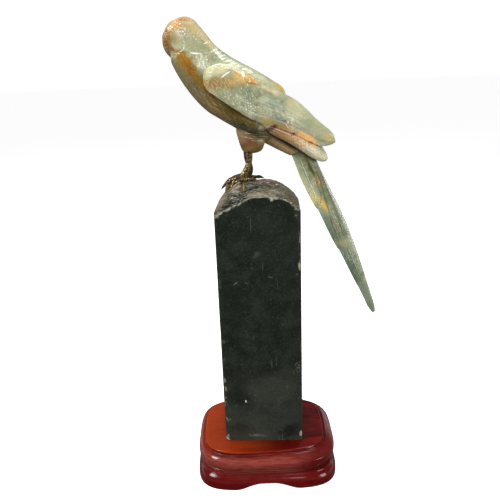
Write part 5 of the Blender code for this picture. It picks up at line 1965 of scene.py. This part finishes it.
TAIL_MARKINGS = markings(WHOLE,
    (337, 222, 16, 3.4, 66, *CUT_WHITE, .8, .04, 68, .0115, .015),
    (352, 240, 27, 2.6, 67, *CUT_WHITE, .85, .04, 67, .0115, .014),
    (342, 258, 12, 6, 55, *CUT_WHITE, .55, .04, 84, .013, .08),
    (353, 258, 12, 5, 50, *CUT_WHITE, .55, .04, 48, .013, .07),
    (315, 198, 14, 4, 62, *CUT_WHITE, .7, .04, 62, .012, .022),
    (318, 181, 7, 4, 60, *CUT_WHITE, .5, .04, 55, .012, .04),
    (333, 195, 26, 4, 64, *CUT_WHITE, .45, .04, 64, .013, .018))

# Patches of the column's rough top, and the scarred corner of its face

COLUMN_PATCHES = patches(WHOLE,
    (263, 182, 14, 4.5, 6, 110, 80, 82, .85, -.02, .8, .3),
    (270, 190, 24, 4.5, 2, 76, 74, 56, .85, .1, .8, .3),
    (260, 196, 26, 3, 0, 146, 138, 116, .85, .19, .8, .3),
    (292, 196, 9, 10, 40, 112, 100, 78, .85, .1, .8, .3),
    (234, 193, 13, 5, -22, 66, 70, 58, .9, .08, .8, .3), (220, 200, 5, 9, 35, 134, 114, 96, .9, .06),
    (237, 201, 18, 4.8, -27, 30, 32, 26, .95, .19, .8, .35),
    (234, 186.5, 8, 3.6, -12, 224, 198, 180, .95, 0, .85, .25, 0, .3))
SCAR_PATCH = Patch(228, 203, 16, 6, -38, 190, 188, 174, .9, .21, .7, .3, -.21, .06)

# Clouds, scratches and pale chips of the column's front face: as a patch, with softness and fray

FACE_MARKS = (
    (266, 248, 24, 30, 0, 30, 42, 32, .4, .9, .3), (272, 390, 30, 16, -12, 66, 68, 60, .45, .6, .2),
    (240, 398, 13, 11, 30, 20, 22, 18, .7, .8, .3), (291, 430, 13, 9, -20, 16, 18, 14, .75, .8, .3),
    (240, 428, 14, 7, 0, 24, 26, 22, .5, .9, .3), (257, 255, 5, 2.2, -35, 92, 94, 86, .36, .9, .5),
    (235.5, 284, 3.4, .7, -38, 122, 124, 116, .5, .7, .3),
    (247, 283.5, 2.6, .5, 24, 104, 106, 100, .5, .6, .2),
    (270, 277, 2.4, .5, 14, 110, 118, 104, .5, .6, .2),
    (250.4, 224, 8, .35, 90, 112, 116, 106, .4, .6, .1),
    (246, 402, 1.2, .7, 70, 214, 216, 208, .95, .7, .3), (236, 407, 2.6, .6, -45, 92, 94, 86, .5, .6, .2),
    (259, 435.5, 7, 1.4, 2, 118, 118, 112, .55, .9, .6),
    (299.6, 265.5, 4, 1.4, 86, 180, 168, 136, .95, .7, .4),
    (300, 238, 5, .7, 88, 150, 148, 132, .8, .7, .4),
    (225.6, 390, 3.2, 1.2, 82, 160, 152, 116, .9, .7, .3),
    (224.6, 381, 2.6, .9, 88, 150, 148, 130, .8, .7, .3),
    (301, 433, 2.6, 1.3, 86, 196, 188, 164, .9, .6, .3),
    (227.5, 440, 2.2, 1.1, 30, 196, 190, 176, .9, .6, .3))
FACE_OUT, FACE_THICKNESS = .21, .06
FACE_PATCHES = tuple(Patch(*row[:9], FACE_OUT, *row[9:], -FACE_OUT, FACE_THICKNESS) for row in FACE_MARKS)


# Light, floor and camera


@dataclass(frozen=True)
class Lamp:
    """Soft square light: where it stands, where it looks, its size and its power."""

    name: str
    place: tuple[float, float, float]
    target: tuple[float, float, float]
    size: float
    power: float
    mirrored: bool = True

    def hang(self) -> None:
        """Adds the light to the scene."""
        data = bpy.data.lights.new(self.name, "AREA")
        data.shape, data.size, data.energy = "SQUARE", self.size, self.power
        item = bpy.data.objects.new(self.name, data)
        bpy.context.scene.collection.objects.link(item)
        item.location = self.place
        item.visible_glossy = self.mirrored
        look = Vector(self.target) - Vector(self.place)
        item.rotation_euler = look.to_track_quat("-Z", "Y").to_euler()


@dataclass
class Studio:
    """Plain pale floor and surroundings, soft lights, and the camera."""

    front_glow: float = .3
    back_glow: float = 1.1
    under_glow: float = .14
    sky_glow: float = .13

    def floor(self) -> None:
        """Wide pale floor just under the stand."""
        x, y = np.meshgrid((-60.0, 60.0), (-60.0, 60.0))
        points = joined(x.ravel(), y.ravel(), np.full(4, -.0002))
        mesh = bpy.data.meshes.new("floor")
        mesh.from_pydata(points.tolist(), [], [(0, 1, 3, 2)])
        item = linked("floor", mesh)
        material, book = new_finish("floor_paper")
        cloud = book.span(book.noise(book.place(), .4, 3), .3, .7)
        colour = book.mix(cloud, (.93, .93, .93), (.96, .96, .96))
        book.surface({
            "Base Color": colour, "Roughness": .9, "Emission Color": (1.0, 1.0, 1.0),
            "Emission Strength": .85})
        mesh.materials.append(material)
        item.visible_diffuse = False
        item.visible_glossy = False

    def surroundings(self) -> None:
        """Pale surroundings: white beyond the carving, dimmer in front and below it."""
        world = bpy.data.worlds.new("studio_white")
        world.use_nodes = True
        bpy.context.scene.world = world
        book = Palette(world.node_tree)
        heading = book.node("TexCoord", {}).outputs["Generated"]
        parts = book.axes(heading)
        beyond = book.span(parts[1], -.25, .25, self.front_glow, self.back_glow)
        above = book.span(parts[2], -.03, -.008, self.under_glow, 1.0)
        high = book.span(parts[2], .125, .23, 1.0, self.sky_glow)
        strength = book.times(book.times(beyond, above), high)
        ground = book.node("Background", {"Color": (1.0, 1.0, 1.0), "Strength": strength})
        book.node("OutputWorld", {0: ground.outputs[0]})
        bpy.context.scene.view_settings.view_transform = "Standard"
        bpy.context.scene.view_settings.look = "None"

    def lamps(self) -> tuple[Lamp, ...]:
        """Large light from the left front, a weaker one from the right, and one above."""
        middle = (STAND_X, 0.0, .22)
        return (Lamp("left_light", (-.95, -.4, .95), middle, .45, 13.0),
                Lamp("front_light", (-.15, -1.3, 1.00), middle, .6, 9.5, False),
                Lamp("right_light", (1.1, -.8, .42), middle, .5, 8.0),
                Lamp("strip_light", (.2, -1.25, .7), middle, .14, 1.0),
                Lamp("top_light", (.1, .35, 1.25), middle, .6, 9.0))

    def camera(self) -> None:
        """Camera at the photo's place, pitch, roll and focal length."""
        data = bpy.data.cameras.new("photo_camera")
        data.lens, data.sensor_width, data.clip_start = FOCAL, FILM_WIDTH, .01
        item = bpy.data.objects.new("photo_camera", data)
        bpy.context.scene.collection.objects.link(item)
        turn = Matrix([Vector(axis) for axis in eye_axes()]).transposed().to_4x4()
        item.matrix_world = Matrix.Translation(Vector(EYE_PLACE)) @ turn
        bpy.context.scene.camera = item

    def build(self) -> None:
        """Sets up the whole studio."""
        self.floor()
        self.surroundings()
        for lamp in self.lamps():
            lamp.hang()
        self.camera()


def main() -> None:
    """Builds every piece, dresses it, and sets up the studio."""
    logging.basicConfig(level=logging.INFO, format="%(name)s: %(message)s")
    patch_nodes()
    body = CarvedStone("parrot_stone", tone(188, 190, 152), tone(144, 150, 114), BODY_PATCHES,
                       BODY_MARKINGS).dressed()
    tail = CarvedStone("tail_stone", tone(164, 172, 142), tone(122, 134, 106), TAIL_PATCHES,
                       TAIL_MARKINGS).dressed()
    lacquer, brass, dark = RedLacquer().dressed(), AgedBrass().dressed(), DarkStone().dressed()
    boards = StandBoards()
    near = BrassLeg("left_leg_dressed", "left_leg", Side.LEFT, NEAR_LEG, NEAR_TOES, True)
    far = BrassLeg("right_leg_dressed", "right_leg", Side.RIGHT, FAR_LEG, FAR_TOES, seed=8)
    boards.foot_board().seat(lacquer)
    boards.top_board().seat(lacquer)
    StoneColumn().build().seat(dark)
    near.build().seat(brass)
    far.build().seat(brass)
    CarvedBody().build().seat(body)
    CarvedTail().build().seat(tail)
    Studio().build()


if __name__ == "__main__":
    main()
